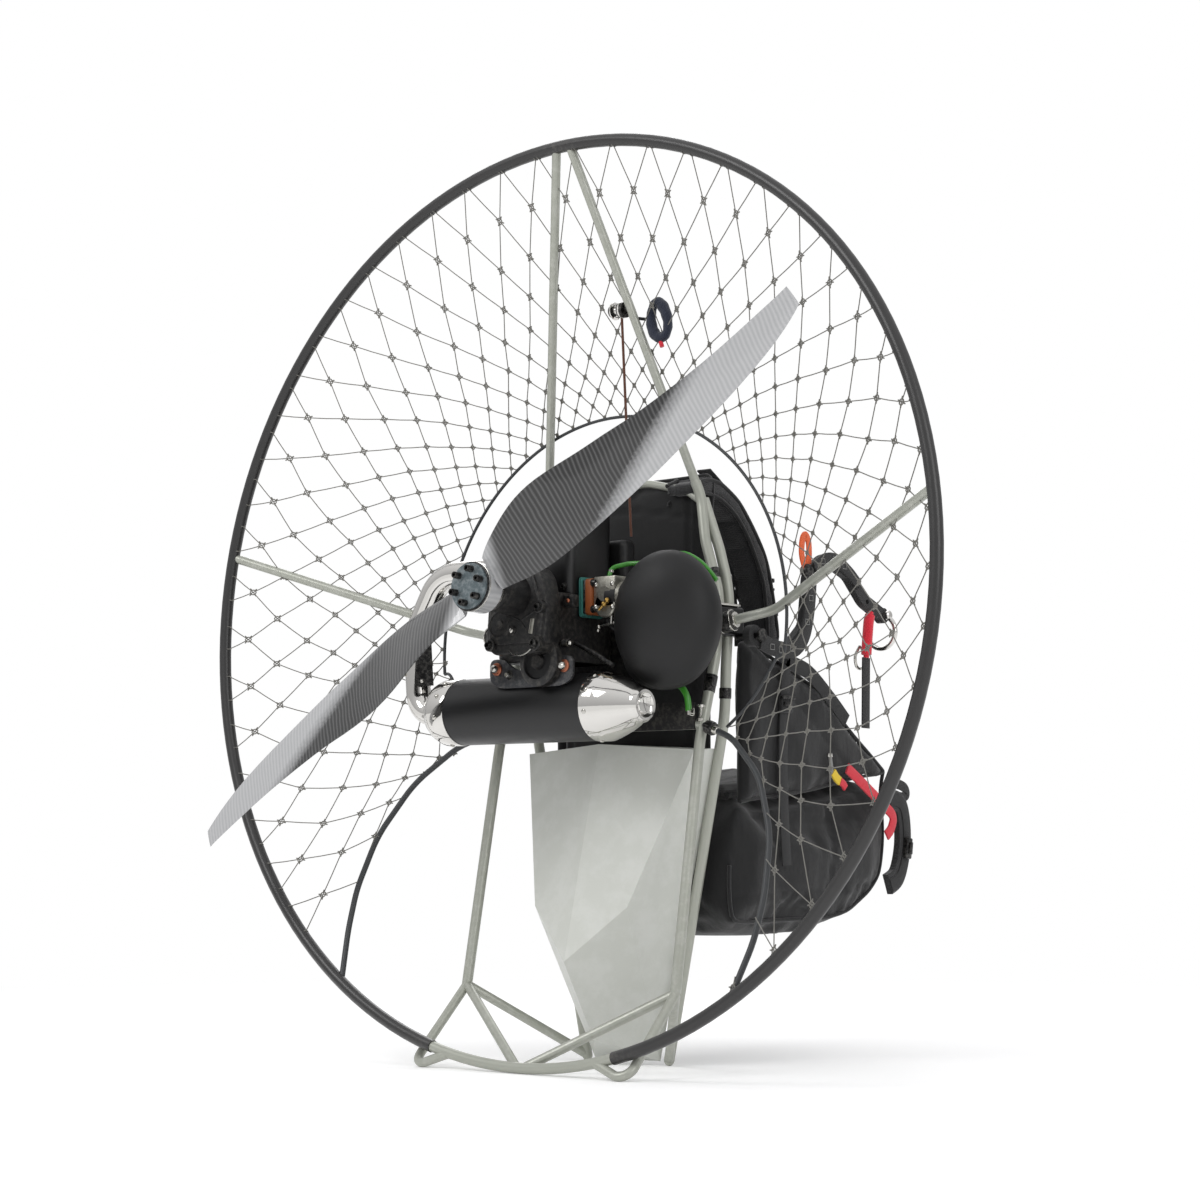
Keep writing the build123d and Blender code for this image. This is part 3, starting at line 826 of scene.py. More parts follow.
def rounded(profile, r, k):
    """Soften the corners of an outline."""
    out = []
    n = len(profile)
    for i in range(n):
        a, b, c = Vector(profile[i - 1]), Vector(profile[i]), Vector(profile[(i + 1) % n])
        d1, d2 = (a - b), (c - b)
        q = min(r, d1.length * 0.45, d2.length * 0.45)
        p1, p2 = b + d1.normalized() * q, b + d2.normalized() * q
        for j in range(k + 1):
            t = j / k
            out.append(tuple((p1 * (1 - t) ** 2 + b * 2 * t * (1 - t) + p2 * t * t)))
    return out


def stuffed(name, outline, corner, steps, x0, x1, inset, voxel, pressure, cap, frames):
    """Sewn shell of a side outline between two x places, swollen by its filling."""
    o = soft_mesh(name, *prism(rounded(outline, corner, steps), x0, x1, inset), voxel)
    return inflate(o, pressure, cap, frames)


def groove(depth, across, width):
    """How far a seam draws the cloth in, at a distance across it."""
    return -depth * exp(-(across / width) ** 2)


def folds(p, amp, sx, sy, sz, seed):
    """Soft sagging folds: ridged noise, stretched along the pull."""
    q = Vector((p.x * sx + seed, p.y * sy, p.z * sz))
    a = noise.noise(q)
    b = noise.noise(q * 2.1 + Vector((3.1, 1.7, 0.4)))
    return amp * ((0.5 - abs(a)) * 0.8 + b * 0.35 - 0.25)


# seat bag: storage bag below the seat, closed, with the seat on its top
BAG = [(216, 206), (330, 195), (464, 199), (550, 219), (603, 248), (638, 283), (649, 340), (648, 410), (634, 440),
    (560, 428), (430, 408), (300, 398), (232, 402), (214, 330)]
bag = stuffed("seat_bag", BAG, 26, 3, -186, 186, 9, 0.0075, 3.5, 0.013, 18)


def bag_shape(p, n):
    q = p - SHIFT
    side = n.x ** 2
    d = folds(p, 0.010, 3.0, 7.5, 5.0, 2.0) * (0.35 + 0.65 * side)
    # panel seams: side gusset and bottom band
    for zz, w in ((0.262, 0.0035), (0.372, 0.003)):
        d += groove(0.004, q.z - zz - 0.05 * (q.y - 0.45) * (zz < 0.3), w) * side
    return d + groove(0.004, q.y - 0.47 - 0.25 * (q.z - 0.3), 0.0035) * side


shape(bag, bag_shape)
finish_soft(bag, "nylon", replaces=["seat_pan", "seat_sides"])

# seat cushion on the bag
PAD = [(250, 400), (430, 410), (560, 430), (612, 442), (600, 456), (540, 446), (430, 428), (250, 418)]
cush = stuffed("seat_pad", PAD, 6, 2, -158, 158, 3, 0.006, 4.0, 0.008, 16)
shape(cush, lambda p, n: sum(groove(0.004, p.x - c, 0.004) for c in (-0.075, 0.0, 0.075)) * max(n.z, 0) + folds(p,
    0.003, 14, 14, 14, 5.0))
finish_soft(cush, "mesh")

# side wings, from the back panel down to the front of the seat
WING = [(230, 380), (430, 400), (560, 424), (636, 436), (640, 452), (597, 487), (519, 539), (459, 575), (396, 608),
    (330, 628), (262, 652), (236, 650)]


def wing(s):
    o = stuffed("side_wing_" + ("right" if s > 0 else "left"), WING, 12, 2, 178 * s - 10, 178 * s + 10, 4, 0.0068,
        4.0, 0.009, 16)
    shape(o, lambda p, n: folds(p, 0.009, 2.0, 9.0, 5.5, 7.0 + s) + groove(0.003,
        p.z - SHIFT.z - 0.52 + 0.7 * (p.y - SHIFT.y - 0.42), 0.0035))
    finish_soft(o, "nylon")


both(wing)

# back panel
BACK = [(210, 440), (209, 700), (206, 850), (208, 896), (222, 906), (238, 898), (242, 850), (243, 700), (240, 560),
    (236, 440), (224, 428)]
back = stuffed("back_panel", BACK, 10, 2, -152, 152, 5, 0.0065, 4.0, 0.010, 18)


def back_shape(p, n):
    q = p - SHIFT
    d = folds(p, 0.004, 9, 9, 6, 11.0)
    rear = max(-n.y, 0)
    for zz in (0.868, 0.822, 0.655):
        d += groove(0.005, q.z - zz - 0.02 * cos(q.x * 12), 0.003) * rear
    for xx in (-0.118, 0.118):
        d += groove(0.005, q.x - xx, 0.003) * rear
    return d


shape(back, back_shape)
finish_soft(back, "cordura", replaces=["back_pad"])

# shoulder pads: over the top of the back panel, forwards and down to the bars
SHOULDER = [(180, 872), (206, 884), (240, 884), (290, 858), (328, 821), (360, 775), (380, 712), (389, 650),
    (372, 628), (354, 634), (356, 690), (344, 742), (318, 790), (286, 826), (246, 850), (212, 856), (186, 850)]


def pad(s):
    mid = 120 * s
    o = stuffed("shoulder_pad_" + ("right" if s > 0 else "left"), SHOULDER, 8, 2, mid - 36, mid + 36, 4, 0.0055, 4.0,
        0.009, 18)
    shape(o, lambda p, n: folds(p, 0.003, 16, 10, 10, 3.0 + s) + groove(0.003, abs(p.x - mid * 0.001) - 0.024, 0.003))
    finish_soft(o, "mesh", replaces=["shoulder_pads"] if s > 0 else ())


both(pad)

# edge binding, seams and zips that lie on the soft pieces
trim = Piece("harness_piping", mats=("web",))
sv, sp = [], []
for o in SOFT:
    sp += [tuple(i + len(sv) for i in p.vertices) for p in o.data.polygons]
    sv += [v.co.copy() for v in o.data.vertices]
SKIN = BVHTree.FromPolygons(sv, sp)


def sewn(pts, lift=0.0012):
    """The line laid on the nearest soft surface, evened out."""
    out = [SKIN.find_nearest(p) for p in pts]
    out = [q[0] + q[1] * lift for q in out]
    for _ in range(3):
        out = [out[0]] + [(out[i - 1] + out[i] * 2 + out[i + 1]) / 4 for i in range(1, len(out) - 1)] + [out[-1]]
    return out


def yz_line(x, pts):
    return sewn(curve([L(x, *p) for p in pts], 5))


def trims(s):
    x = 190 * s
    trim.tube(yz_line(x, [(214, 300), (216, 212), (330, 192), (464, 196), (550, 216), (605, 245), (641, 281),
        (652, 340), (651, 410), (640, 452), (597, 490), (519, 542), (459, 578), (396, 611), (330, 631), (262, 655)]),
        0.0032, 8)
    trim.tube(yz_line(186 * s, [(236, 398), (430, 406), (560, 428), (640, 446)]), 0.0026, 8)
    for xx in (82, 158):
        trim.tube(yz_line(xx * s, [(182, 876), (206, 890), (242, 890), (293, 863), (332, 825), (365, 778), (386, 713),
            (394, 650), (376, 623)]), 0.0036, 8)
        trim.tube(yz_line(xx * s, [(186, 846), (212, 851), (244, 845), (283, 822), (314, 787), (340, 740), (351, 690),
            (350, 634)]), 0.0030, 8)


both(trims)
trim.tube(sewn(curve([L(-156, 224, 440), L(-156, 222, 850), L(-146, 222, 898), L(-118, 220, 911), L(118, 220, 911),
    L(146, 222, 898), L(156, 222, 850), L(156, 224, 440)], 8)), 0.0034, 8)
trim.build(angle=60)


# ------------------------------------------------------------------ engine
K = 0.001       # millimetres to metres
GEAR_FACE = 22  # behind the hoop's plane, in millimetres
SIL_R = 0.0509  # silencer's end caps


def mm(pts):
    """Pairs of millimetres in metres."""
    return [(a * K, b * K) for a, b in pts]


def card(pts, r, k):
    """A rounded outline in metres."""
    return mm(rounded(pts, r, k))


def gear(x, h, n):
    """A place on the gear case: across, up and behind its front face, in mm."""
    return hoop(x, h, GEAR_FACE + n)


block = Piece("air_shroud", mats=("shroud", "cast", "black_steel"))
block.plate(card([(-70, 16), (41, 16), (41, 118), (-70, 118)], 18, 5), 0.138, L(0, 0, 700), RIGHT, FORE, 0.004)
block.use("cast").plate(card([(-74, -18), (40, -18), (40, 118), (-74, 118)], 12, 4), 0.102, L(0, 0, 600), RIGHT, FORE,
    0.003)
block.turned(L(-15, 66, 837), TOP, mm([(0, 13), (5, 10.5), (20, 10), (24, 6)]), 20)
block.disc(L(22, 17, 812), REAR, 0.013, 0.007, 20)
for x in (-52, -44, -36):
    block.use("shroud").box(L(x, 15.6, 772), (0.0028, 0.003, 0.10), 0.0008)
for x, z in ((22, 812), (-60, 828), (-60, 712), (30, 712)):
    block.use("black_steel").hexbolt(L(x, 16 if z != 812 else 10, z), REAR, 0.0042, 0.005, True, 0.0058)
for z in (640, 672):
    block.use("cast").box(L(-17, -18, z), (0.100, 0.006, 0.004), 0.001)
block.build(replaces=["cylinder", "cylinder_head", "crankcase"])

case = Piece("gear_case", mats=("cast", "black_steel", "copper", "steel", "carb"))
OUT = [(-52, 10), (-56, -40), (-52, -84), (-40, -94), (40, -94), (57, -84), (60, -28), (48, 20), (20, 48), (-20, 48)]
case.plate(card(OUT, 12, 4), 0.034, gear(0, 0, 0), RIGHT, UP, 0.003)
case.plate(mm([(a * .82, (b + 22) * .80 - 22) for a, b in rounded(OUT, 12, 4)]), 0.004, gear(0, 0, 34), RIGHT, UP,
    0.0015)
BOSS = [(-44, -80, 9, 41), (46, -81, 11, 43), (50, -28, 9, 42), (-46, 4, 8, 40), (24, 34, 9, 40), (22, -6, 6, 39)]
for x, h, r, n in BOSS:
    case.use("cast").disc(gear(x, h, 0), AFT, r * K, n * K, 22, 0.0012)
    case.use("black_steel").hexbolt(gear(x, h, n - 1), AFT, r * K * .55, 0.006, True, r * K * .72)
case.use("cast").turned(gear(-28, -50, 34), AFT, mm([(0, 24), (4, 22.5), (5, 18.5), (3, 17.5), (3, 8), (5.5, 7),
    (6, 0)]), 32)
case.turned(gear(0, -8, 0), AFT, mm([(0, 33), (40, 31), (60, 30), (88, 29.5), (90, 27)]), 40)
case.turned(gear(28, -104, -2), AFT, mm([(0, 36), (12, 36), (14, 34), (16, 26), (12, 24), (12, 12), (18, 10),
    (18, 0)]), 36)
for a, b in (((50, -28), (14, -46)), ((14, -46), (46, -81)), ((50, -28), (46, -81)), ((14, -46), (-14, -34)),
        ((24, 34), (50, -28)), ((-46, 4), (-44, -80)), ((-14, -34), (24, 34))):
    case.tube([gear(*a, 34), gear(*b, 34)], [0.0045, 0.0045], 8)
case.use("carb").tube([gear(34, -66, 30), gear(37, -44, 30)], 0.009, 20)
case.use("steel").tube([gear(14 + 31 * sin(radians(t)), -66 - 31 * cos(radians(t)), 37) for t in range(-42, 61, 6)],
    0.0009, 6)
for x, h, mat in ((-3, -27, "copper"), (-1, -60, "steel"), (-36, -14, "copper")):
    case.use("cast").disc(gear(x, h, 36), AFT, 0.0068, 0.004, 18)
    case.use(mat).dome(gear(x, h, 40), AFT, 0.0036, 0.003)
case.use("carb").tube([L(44, -4, 626), L(58, -6, 625)], 0.0045, 12)
for k in range(5):
    case.use("black_steel").tube([L(47 + 2.6 * k + 0.9 * cos(t), -4 + 5.6 * sin(t),
        626 + 5.6 * cos(t)) for t in angles(14)], 0.0007, 4, closed=True)
case.use("steel").dome(L(58, -6, 625), (1, -0.3, 0), 0.0042, 0.006)
case.use("cast").box(L(55, 2, 688), (0.020, 0.014, 0.018), 0.002)
case.use("copper").dome(L(56, -5, 688), REAR, 0.0032, 0.003)
case.build(replaces=["reduction_housing"])

plate = Piece("engine_plate", mats=("plate", "copper", "steel", "black_steel"))
plate.plate(card([(-81, 572), (-81, 606), (-54, 606), (-30, 588), (30, 588), (54, 606), (81, 606), (81, 572),
    (60, 562), (-60, 562)], 13, 5), 0.006, L(0, -19, 0), RIGHT, TOP, 0.0012)
for x in (-66, 66):
    plate.use("copper").turned(L(x, -24, 591), REAR, mm([(0, 9.5), (3, 9.5), (4.2, 8.5), (4.6, 6)]), 24)
    plate.use("steel").turned(L(x, -28, 591), REAR, mm([(0, 6.2), (3, 6.2), (6.5, 5.5), (9, 3.5), (9.8, 0)]), 18)
for x in (-42, -5, 32):
    plate.use("black_steel").disc(L(x, -24, 582), REAR, 0.0072, 0.002, 20)
    plate.use("steel").turned(L(x, -26, 582), REAR, mm([(0, 4.5), (4, 4.5), (6, 3.6), (6.2, 2.4), (4, 2)]), 16)
plate.use("black_steel").tube([L(48, 20, 628), L(80, 26, 611), L(113, 30, 592)], 0.004, 10)
plate.build(replaces=["mount_plate"])

# --------------------------------------------------- intake and carburettor
carb = Piece("carburettor_body", mats=("gasket", "insulator", "carb", "steel", "brass", "black_steel", "rubber"))
for x, w, q in ((43, 2.6, 30), (46.4, 2.2, 29)):
    carb.use("gasket").plate(card([(-26, -q), (26, -q), (26, q), (-26, q)], 6, 3), w * K, L(x, 60, 697), FORE, TOP,
        0.0004)
carb.use("black_steel").box(L(51, 60, 697), (0.005, 0.046, 0.050), 0.001)
carb.use("insulator").plate(card([(-24, -27), (24, -27), (24, 27), (-24, 27)], 5, 3), 0.012, L(53.5, 60, 697), FORE,
    TOP, 0.001)
for y, z in ((40, 717), (40, 678), (80, 717), (80, 678)):
    carb.use("black_steel").hexbolt(L(65, y, z), RIGHT, 0.005, 0.007, True, 0.006)
carb.use("carb").box(L(87, 62, 703), (0.041, 0.044, 0.046), 0.0022)
carb.turned(L(87, 40, 684), FORE, mm([(0, 17.5), (2, 19.5), (42, 19.5), (44, 17.5)]), 32)
carb.turned(L(107, 60, 696), RIGHT, mm([(0, 21), (2, 22.5), (8, 22.5), (10, 20)]), 32)
for x, z in ((71, 714), (103, 714), (71, 681), (103, 680)):
    carb.use("steel").dome(L(x, 40, z), REAR, 0.0037, 0.0032)
carb.use("carb").disc(L(87, 40.5, 700), REAR, 0.012, 0.0012, 26)
carb.use("brass").tube([L(81, 35, 676), L(97, 35, 689)], [0.0022, 0.0026], 10)
for p in (L(97, 35, 689), L(90, 36, 684)):
    carb.ball(p, 0.0044, 12)
carb.tube([L(90, 41, 684), L(90, 33, 684)], 0.0024, 10)
carb.use("steel").tube([L(72, 46, 652), L(102, 46, 656)], 0.0018, 8)
carb.tube([L(95, 46, 655), L(95, 48, 670)], 0.0024, 10)
carb.tube([L(103, 50, 656), L(103, 52, 672)], 0.003, 10)
for p, r in ((L(72, 46, 652), .0036), (L(72, 44, 646), .003), (L(102, 46, 656), .0032)):
    carb.ball(p, r, 12)
carb.use("brass").turned(L(70, 72, 724), (0, 0.25, 1), mm([(0, 5.2), (4, 5.2), (4.2, 2.8), (16, 2.6)]), 6)
carb.use("rubber").tube(curve([L(84, 52, 662), L(96, 54, 648), L(118, 62, 648), L(132, 74, 662)], 6), 0.004, 10)
carb.build(replaces=["carburettor", "intake_block"])

lobe = Piece("airbox_lobe", mats=("airbox",))
lobe.ball(L(172, 78, 606), 1.0, 40, (0.070, 0.048, 0.050))
lobe.build(angle=80)

hose = Piece("fuel_line", mats=("fuel", "steel", "brass"))
hose.tube(curve([L(160, 96, 752), L(186, 104, 758), L(214, 112, 742), L(236, 118, 716)], 6), 0.0035, 10)
hose.tube(curve([L(172, 104, 566), L(184, 102, 560), L(193, 102, 546), L(196, 102, 526)], 6), 0.0048, 12)
hose.use("steel").tube([L(196, 102, 528), L(196, 102, 520)], 0.0030, 8)
for t in (0, 1):
    hose.tube(curve([L(200, 100, 520 + 3 * t), L(208, 98, 519 + 3 * t), L(208, 98, 527 + 2 * t), L(199, 100, 526)],
        4), 0.0008, 5)
hose.tube([L(70, 76, 735), L(70, 76, 739)], 0.0048, 12)
hose.build()

# ------------------------------------------------------ silencer and header
ends = Piece("silencer_fittings", mats=("chrome", "silencer", "steel"))
SIL = L(0, 20, 532)


def round_sil(a, r, x):
    return SIL + Vector((x * K, sin(radians(a)) * -r * K, cos(radians(a)) * r * K))


ends.turned(SIL, RIGHT, [(-.236, .0185), (-.232, .026), (-.224, .038), (-.213, .0465), (-.203, .0505), (-.176, SIL_R),
    (-.174, .0500)], 56)
ends.turned(SIL, RIGHT, [(.0955, .0500), (.0965, SIL_R), (.116, SIL_R), (.118, .0497), (.126, .0480), (.150, .0385),
    (.166, .0300), (.170, .0272), (.174, .0262), (.179, .0250), (.1815, .0225), (.1815, .0185), (.179, .0165),
    (.1775, .0128), (.1790, .0112), (.1785, .0096)], 56)
ends.use("silencer").turned(SIL, RIGHT, mm([(178.2, 9.8), (150, 9.2), (149, 1)]), 40)
for a in (-100, -35, 30, 62, 100, 170):
    for x in (-190, 107):
        ends.use("steel").dome(round_sil(a, 50.4, x), round_sil(a, 60, x) - round_sil(a, 50, x), 0.0036, 0.003)
for x in (-172.5, 94.5):
    ends.use("silencer").turned(SIL, RIGHT, [((x - 1.2) * K, .0499), ((x - .6) * K, .0505), ((x + .6) * K, .0505),
        ((x + 1.2) * K, .0499)], 56)
ends.build(replaces=["silencer_ends"])

guard = Piece("header_shield", mats=("black_steel", "steel"))
guard.strap([L(-254, 12, 640), L(-250, 10, 610), L(-247, 10, 575)], 0.026, 0.003, normal=(0.7, -0.7, 0.0))
guard.strap([L(-268, -1, 652), L(-250, 6, 644), L(-244, 16, 640)], 0.012, 0.003, normal=(0.5, -0.8, 0.2))
guard.use("steel").box(L(-292, 6, 600), (0.010, 0.014, 0.018), 0.002)
for p in (L(-252, 4, 644), L(-248, 4, 582)):
    guard.dome(p, (0.6, -0.8, 0), 0.003, 0.003)
guard.build()

# --------------------------------------------------------------------- hub
AXIS_AT = Vector(JOINTS["propeller_spin"]["pos_m"])
BOLT_CIRCLE = .025      # its radius
hubs = Piece("hub_screws", body="propeller_unit", mats=("black_steel", "steel"))
for i in range(6):
    a = radians(60 * i + 20)
    hubs.hexbolt(AXIS_AT + (RIGHT * cos(a) + UP * sin(a)) * BOLT_CIRCLE + AFT * .0199, AFT, .0052, .0115, True)
hubs.turned(AXIS_AT + AFT * .0138, AFT, mm([(0, 35.2), (0.6, 36.2), (2, 36.2), (2.6, 34)]), 64)
hubs.use("steel").turned(AXIS_AT + AFT * .0105, AFT, mm([(0, 35.9), (1.2, 36.6), (2.6, 36.4), (3, 35.5)]), 64)
hubs.build(replaces=["hub_bolts"])

# ------------------------------------------------------------ starter pull
grip = Piece("starter_grip", mats=("navy", "red"))
GC = L(120, 130, 1118)
grip.tube([GC + Vector((0.0155 * cos(t) * (1 - .12 * sin(t)) - .004 * sin(t), 0,
    0.0275 * sin(t))) for t in angles(40)], [0.0078 + 0.0010 * sin(2 * t) + 0.0004 * sin(10 * t) for t in angles(40)],
    16, closed=True)
grip.use("red").tube([GC + Vector((0.004, -.002, -0.034)), GC + Vector((0.007, -.002, -0.042))], 0.0034, 10)
grip.build(angle=80, replaces=["starter_handle"])
spool = Piece("starter_spool", mats=("chrome", "black_steel"))
spool.turned(L(44, 114, 1138), RIGHT, mm([(0, 8.5), (2, 13.5), (4, 13.5), (6, 7.5), (14, 7), (16, 12.5), (18, 12.5),
    (20, 9)]), 28)
spool.use("black_steel").turned(L(38, 114, 1138), RIGHT, mm([(0, 6), (2, 9), (6, 9), (8, 6)]), 24)
spool.tube([L(81, 117, 1124), L(96, 128, 1122)], 0.0026, 8)
spool.build()

# ------------------------------------------------------ clamps and ferrules
fit = Piece("frame_fittings", mats=("black_steel", "steel", "plate", "arc"))
ARM_DIR = Vector((61, 12, 11.1)).normalized()
ARC_DIR = Vector((64, -18, -21)).normalized()


def flip(v, s):
    return Vector((v[0] * s, v[1], v[2]))


def fittings(s):
    d, e = flip(ARM_DIR, s), flip(ARC_DIR, s)
    at = L(208.3 * s, 146.8, 653.8)
    for f, r, t in ((6, 17, 3), (11, 15.6, 3), (30, 16.5, 3), (34, 12, 4)):
        fit.use("steel").disc(at + d * f * K, d, r * K, t * K, 32)
    fit.use("black_steel").turned(at + d * .014, d, mm([(0, 15.2), (1, 15.8), (14, 15.8), (15, 15.2)]), 32)
    fit.use("steel").box(L(195 * s, 176, 686.2), (0.036, 0.062, 0.0034), 0.001)
    fit.box(L(195 * s, 146.2, 678), (0.034, 0.0034, 0.019), 0.001)
    for y in (160, 204):
        fit.use("plate").hexbolt(L(195 * s, y, 687.8), TOP, 0.0062, 0.005, False, 0.0085)
    foot = L(211 * s, 126.3, 504.0)
    u = e.orthogonal().normalized()
    w = e.cross(u)
    fit.use("black_steel").turned(foot, e, mm([(0, 7), (2, 9.6), (16, 9.6), (18, 7.5)]), 24)
    for t in angles(16):
        q = foot + (u * cos(t) + w * sin(t)) * .0096
        fit.tube([q + e * .003, q + e * .015], 0.0008, 5)
    fit.use("steel").turned(foot + e * .018, e, mm([(0, 6.6), (2, 6.6), (9, 5.8), (10, 4.8)]), 20)
    fit.turned(L(196 * s, 131, 512), TOP, mm([(0, 6.2), (4, 6.2), (4.2, 3), (20, 3), (20.2, 6.8), (24, 6.2),
        (24.5, 1)]), 16)
    for a, b, f, r in (((198, 164, 610), (197.3, 127, 486), .30, 9.4), ((198, 164, 610), (197.3, 127, 486), .38, 9.0),
            ((190, 200, 600), (187, 200, 520), .55, 9.2), ((195, 179, 700), (166, 182, 785), .4, 9.0)):
        p, q = L(a[0] * s, a[1], a[2]), L(b[0] * s, b[1], b[2])
        t = (q - p).normalized()
        fit.use("black_steel").turned(p.lerp(q, f) - t * .008, t,
            [(0, r * K - .0006), (.001, r * K), (.015, r * K), (.016, r * K - .0006)], 28)
    fit.box(L(204 * s, 146, 571), (0.010, 0.008, 0.014), 0.0015)


both(fittings)
fit.build()


# ------------------------------------------------ straps, handles, buckles
def side_line(x, pts, n=8):
    return curve([L(x, y, z) for y, z in pts], n)


# material, x, width, thickness and side line (y, z) of the flat straps
BAR_SLEEVES = [
    ("web", 244.5, 25, 3, [(214, 632), (240, 625), (275, 622), (304, 628), (326, 650), (338, 690), (343, 728)]),
    ("web", 244.5, 19, 3, [(352, 752), (382, 768), (412, 768), (446, 752), (470, 735)]),
]
BAR_LOOP = ("orange", 236, 12, 2.2, [(339, 752), (331, 772), (333, 794), (341, 802), (349, 792), (350, 770),
    (346, 754)])
BAR_TAIL = ("web", 246, 20, 2, [(487, 622), (486, 590), (485, 550), (484, 512)])
SIDE_WEBS = [
    ("web", 199, 24, 2, [(300, 640), (345, 612), (400, 596), (455, 560), (500, 525)]),
    ("web", 199, 22, 2, [(340, 618), (336, 560), (330, 470), (332, 380), (338, 300)]),
]
SIDE_TABS = [
    ("blue", 201, 12, 2, [(355, 652), (352, 640), (350, 626)]),
    ("red", 201, 17, 2.8, [(498, 451), (540, 428), (592, 398), (624, 378), (620, 358), (606, 346)]),
    ("yellow", 202, 14, 3, [(458, 444), (466, 436), (476, 430)]),
    ("red", 203, 12, 3, [(476, 430), (484, 426), (490, 420)]),
    ("web", 190, 16, 2, [(640, 430), (662, 428), (678, 422), (681, 412), (666, 408), (644, 412)]),
    # leg loop: its pad and the webbing over it
    ("mesh", 186, 34, 10, [(630, 405), (660, 398), (672, 376), (675, 340), (668, 306), (654, 280), (630, 268)]),
    ("web", 193, 20, 2, [(630, 405), (661, 399), (674, 376), (677, 340), (670, 305), (655, 279), (630, 267)]),
]
STITCHES = [(240, 625), (262, 622), (290, 625), (330, 668), (340, 705), (372, 764), (430, 761)]


def straps(s):
    name = "right" if s > 0 else "left"
    n = (s, 0, 0)

    def lay(piece, *rows):
        for mat, x, width, thick, pts in rows:
            piece.use(mat).strap(side_line(x * s, pts), width * K, thick * K, n)

    # on the hang bar: sleeve with stitches, loops, padded red handle, link
    bar = Piece("bar_dressing_" + name, body="bar_" + name, mats=("web", "orange", "red", "steel", "chrome"))
    lay(bar, *BAR_SLEEVES)
    for y, z in STITCHES:
        square = [L(246.7 * s, y + a, z + b) for a, b in ((-5, -4), (5, -4), (5, 4), (-5, 4))]
        for q, w in zip(square, square[1:] + square[:1]):
            bar.use("web_grey").tube([q, w], 0.0005, 4)
    bar.use("black_steel").ball(L(236 * s, 344, 748), 0.011, 16)
    lay(bar, BAR_LOOP)
    bar.use("red").tube(side_line(247 * s, [(500, 694), (494, 680), (490, 655), (487, 632), (486, 622)]),
        [0.0045] * 4 + [0.0082] * 24 + [0.0045] * 5, 12)
    lay(bar, BAR_TAIL)
    bar.use("steel").tube(side_line(236 * s, [(484, 640), (496, 632), (500, 618), (490, 606), (476, 608), (472, 624),
        (484, 640)]), 0.0024, 8)
    bar.use("chrome").tube([L(224 * s, 545, 692), L(248 * s, 545, 692)], 0.0048, 14)
    bar.turned(L(248 * s, 545, 692), n, mm([(0, 7.5), (4, 7.5), (6, 5)]), 18)
    bar.build()

    # on the harness
    h = Piece("harness_webbing_" + name, mats=("web", "web_grey", "red", "yellow", "orange", "black_steel", "steel",
        "mesh", "blue"))
    lay(h, *SIDE_WEBS)
    h.box(L(201 * s, 336, 545), (0.006, 0.030, 0.026), 0.002)
    h.use("black_steel").box(L(205 * s, 336, 545), (0.005, 0.022, 0.006), 0.001)
    h.box(L(205 * s, 336, 555), (0.005, 0.034, 0.005), 0.001)
    lay(h, *SIDE_TABS)
    h.use("black_steel").box(L(198 * s, 672, 326), (0.008, 0.016, 0.034), 0.0025, -8)
    h.box(L(203 * s, 673, 326), (0.004, 0.008, 0.020), 0.0015, -8)
    # shoulder adjusters and chest strap ends
    for y, z in ((386, 742), (395, 690)):
        h.use("black_steel").box(L(120 * s, y, z), (0.046, 0.006, 0.007))
        h.box(L(120 * s, y, z - 14), (0.046, 0.006, 0.005))
    over = [L(120 * s, y, z) for y, z in ((238, 902), (286, 872), (330, 834), (366, 782), (386, 720), (396, 660),
        (384, 606))]
    h.use("web").strap(curve(over + [L(150 * s, 372, 560)], 6), 0.026, 0.002, (0, 0.7, 0.7))
    # zip pull and tab behind the wing
    h.use("steel").box(L(200 * s, 452, 470), (0.004, 0.012, 0.006), 0.001)
    lay(h, ("web_grey", 201, 7, 1.8, [(452, 468), (455, 452), (457, 436)]))
    h.build()


both(straps)
buckle = Piece("frame_buckle", mats=("web_grey", "web", "steel"))
buckle.use("web").strap([L(-18, 198, 900), L(-18, 196, 880), L(-18, 202, 862)], 0.030, 0.0022, REAR)
for z in (893, 884, 875):
    buckle.use("web_grey").box(L(-18, 194.5, z), (0.034, 0.004, 0.0035), 0.001)
for x in (-34, -2):
    buckle.box(L(x, 194.5, 884), (0.004, 0.004, 0.024), 0.001)
buckle.build()


# ---------------------------------------------------------- floor and light
FLOOR_R = 40        # half the floor's side, in metres
FADE = 4.0          # the floor turns white on the way to this distance


k = Nodes("floor_white")
k.put(Roughness=0.9, Specular_IOR_Level=0.0, Base_Color=k.mix(k.noise(3, 2), lin(244), lin(248)))
# pale stage: white far from the object, and lifted a little near it, so that
# only the object's own soft shadow shows
sep = k.new("ShaderNodeSeparateXYZ")
k.link(k.tc.outputs["Object"], sep.inputs[0])
x, y = sep.outputs[:2]
dist = k.math("SQRT", k.add(k.mul(x, x), k.mul(y, y)))
far = k.ramp(k.math("DIVIDE", dist, FADE), [(0.22, 0.0), (0.62, 1.0)])
lpf = k.new("ShaderNodeLightPath")
seen = k.math("MAXIMUM", lpf.outputs["Is Camera Ray"], lpf.outputs["Is Glossy Ray"])
em = k.new("ShaderNodeEmission")
em.inputs[0].default_value = (1, 1, 1, 1)
k.link(k.mul(seen, k.add(k.mul(far, 0.82), 0.18)), em.inputs[1])
tr = k.new("ShaderNodeMixShader")
blk = k.new("ShaderNodeEmission")
blk.inputs[1].default_value = 0.0
k.link(k.mul(far, seen), tr.inputs[0])
k.link(k.p.outputs[0], tr.inputs[1])
k.link(blk.outputs[0], tr.inputs[2])
ad = k.new("ShaderNodeAddShader")
k.link(tr.outputs[0], ad.inputs[0])
k.link(em.outputs[0], ad.inputs[1])
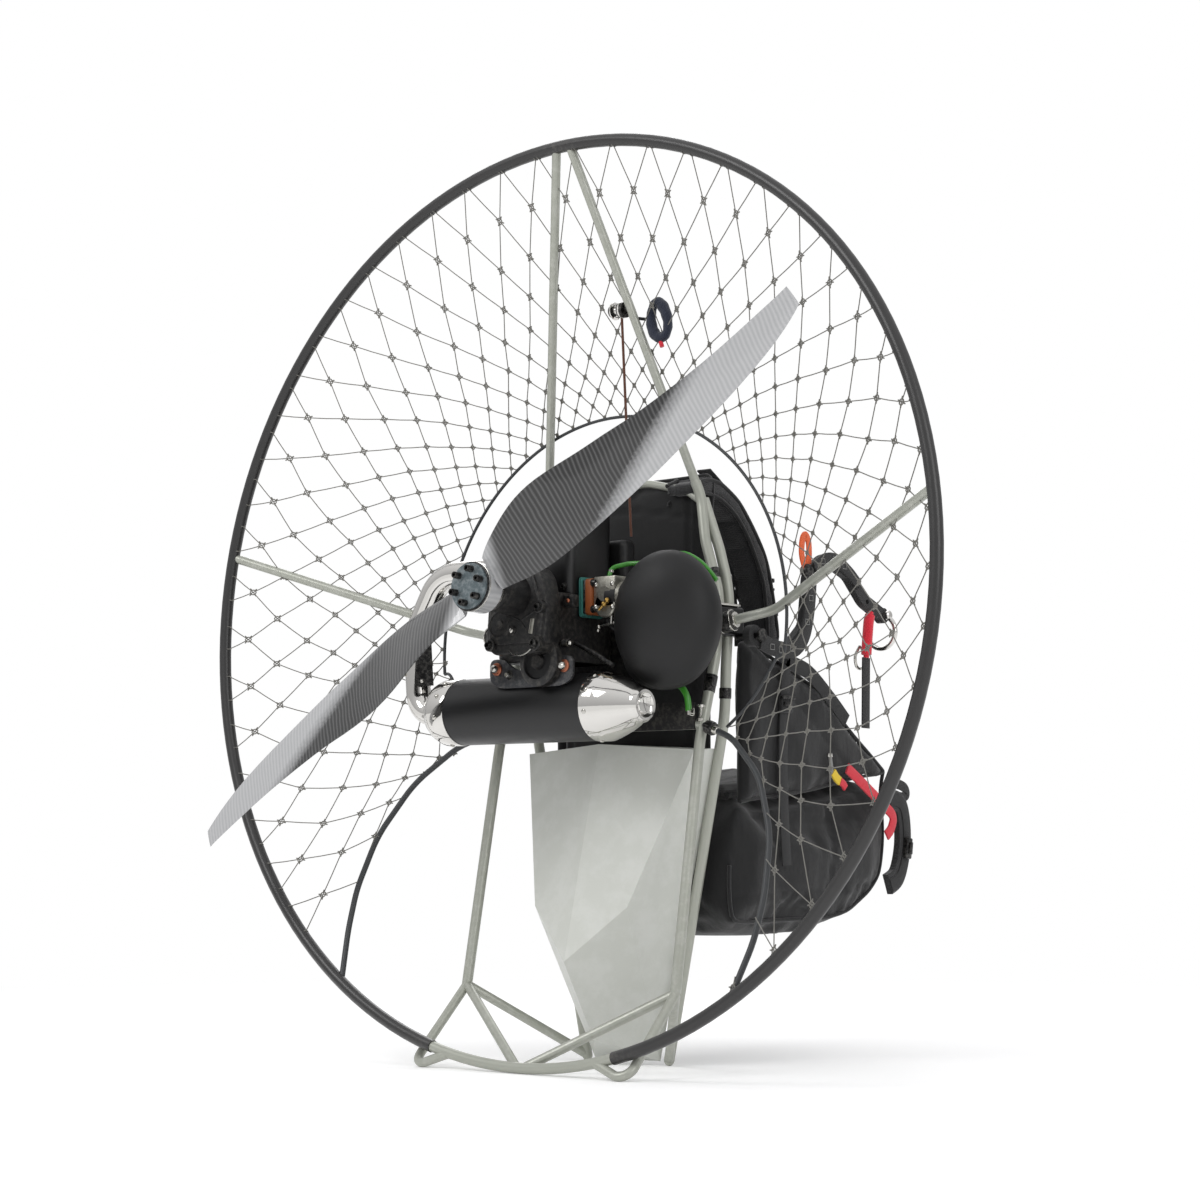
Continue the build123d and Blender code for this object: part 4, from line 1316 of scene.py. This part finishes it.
k.link(ad.outputs[0], k.t.nodes["Material Output"].inputs["Surface"])
me = bpy.data.meshes.new("floor")
me.from_pydata([(a * FLOOR_R, b * FLOOR_R, 0) for a, b in ((-1, -1), (1, -1), (1, 1), (-1, 1))], [], [(0, 1, 2, 3)])
me.materials.append(k.m)
place("floor", me)

world = bpy.data.worlds.new("studio")
bpy.context.scene.world = world
world.use_nodes = True
wt = world.node_tree
bg = wt.nodes["Background"]
tc = wt.nodes.new("ShaderNodeTexCoord")
sep = wt.nodes.new("ShaderNodeSeparateXYZ")
wt.links.new(tc.outputs["Generated"], sep.inputs[0])
ramp = wt.nodes.new("ShaderNodeValToRGB")
for i, (p, c) in enumerate([(0.0, 0.55), (0.49, 0.62), (0.52, 0.34), (0.75, 0.6), (1.0, 0.95)]):
    if i > 1:
        ramp.color_ramp.elements.new(0.5)
    ramp.color_ramp.elements[i].position = p
    ramp.color_ramp.elements[i].color = (c, c, c * 1.01, 1)
mr = wt.nodes.new("ShaderNodeMapRange")
mr.inputs[1].default_value = -1
mr.inputs[2].default_value = 1
wt.links.new(sep.outputs[2], mr.inputs[0])
wt.links.new(mr.outputs[0], ramp.inputs[0])
lp = wt.nodes.new("ShaderNodeLightPath")
mix = wt.nodes.new("ShaderNodeMix")
mix.data_type = "RGBA"
wt.links.new(lp.outputs["Is Camera Ray"], mix.inputs[0])
wt.links.new(ramp.outputs[0], mix.inputs[6])
mix.inputs[7].default_value = (1, 1, 1, 1)
wt.links.new(mix.outputs[2], bg.inputs[0])
bg.inputs[1].default_value = 1.0


def lamp(name, loc, aim, size, power):
    d = bpy.data.lights.new(name, "AREA")
    d.shape = "RECTANGLE"
    d.size, d.size_y = size
    d.energy = power
    o = place(name, d)
    o.location = loc
    o.rotation_euler = (Vector(aim) - Vector(loc)).to_track_quat("-Z", "Y").to_euler()


lamp("key", (-1.2, -3.6, 3.4), (0, 0, 0.7), (2.2, 1.6), 55)
lamp("fill", (3.8, -1.2, 2.2), (0, 0, 0.7), (1.6, 2.4), 30)
lamp("rim", (-2.5, 2.8, 3.0), (0, 0, 0.8), (2.0, 2.0), 35)
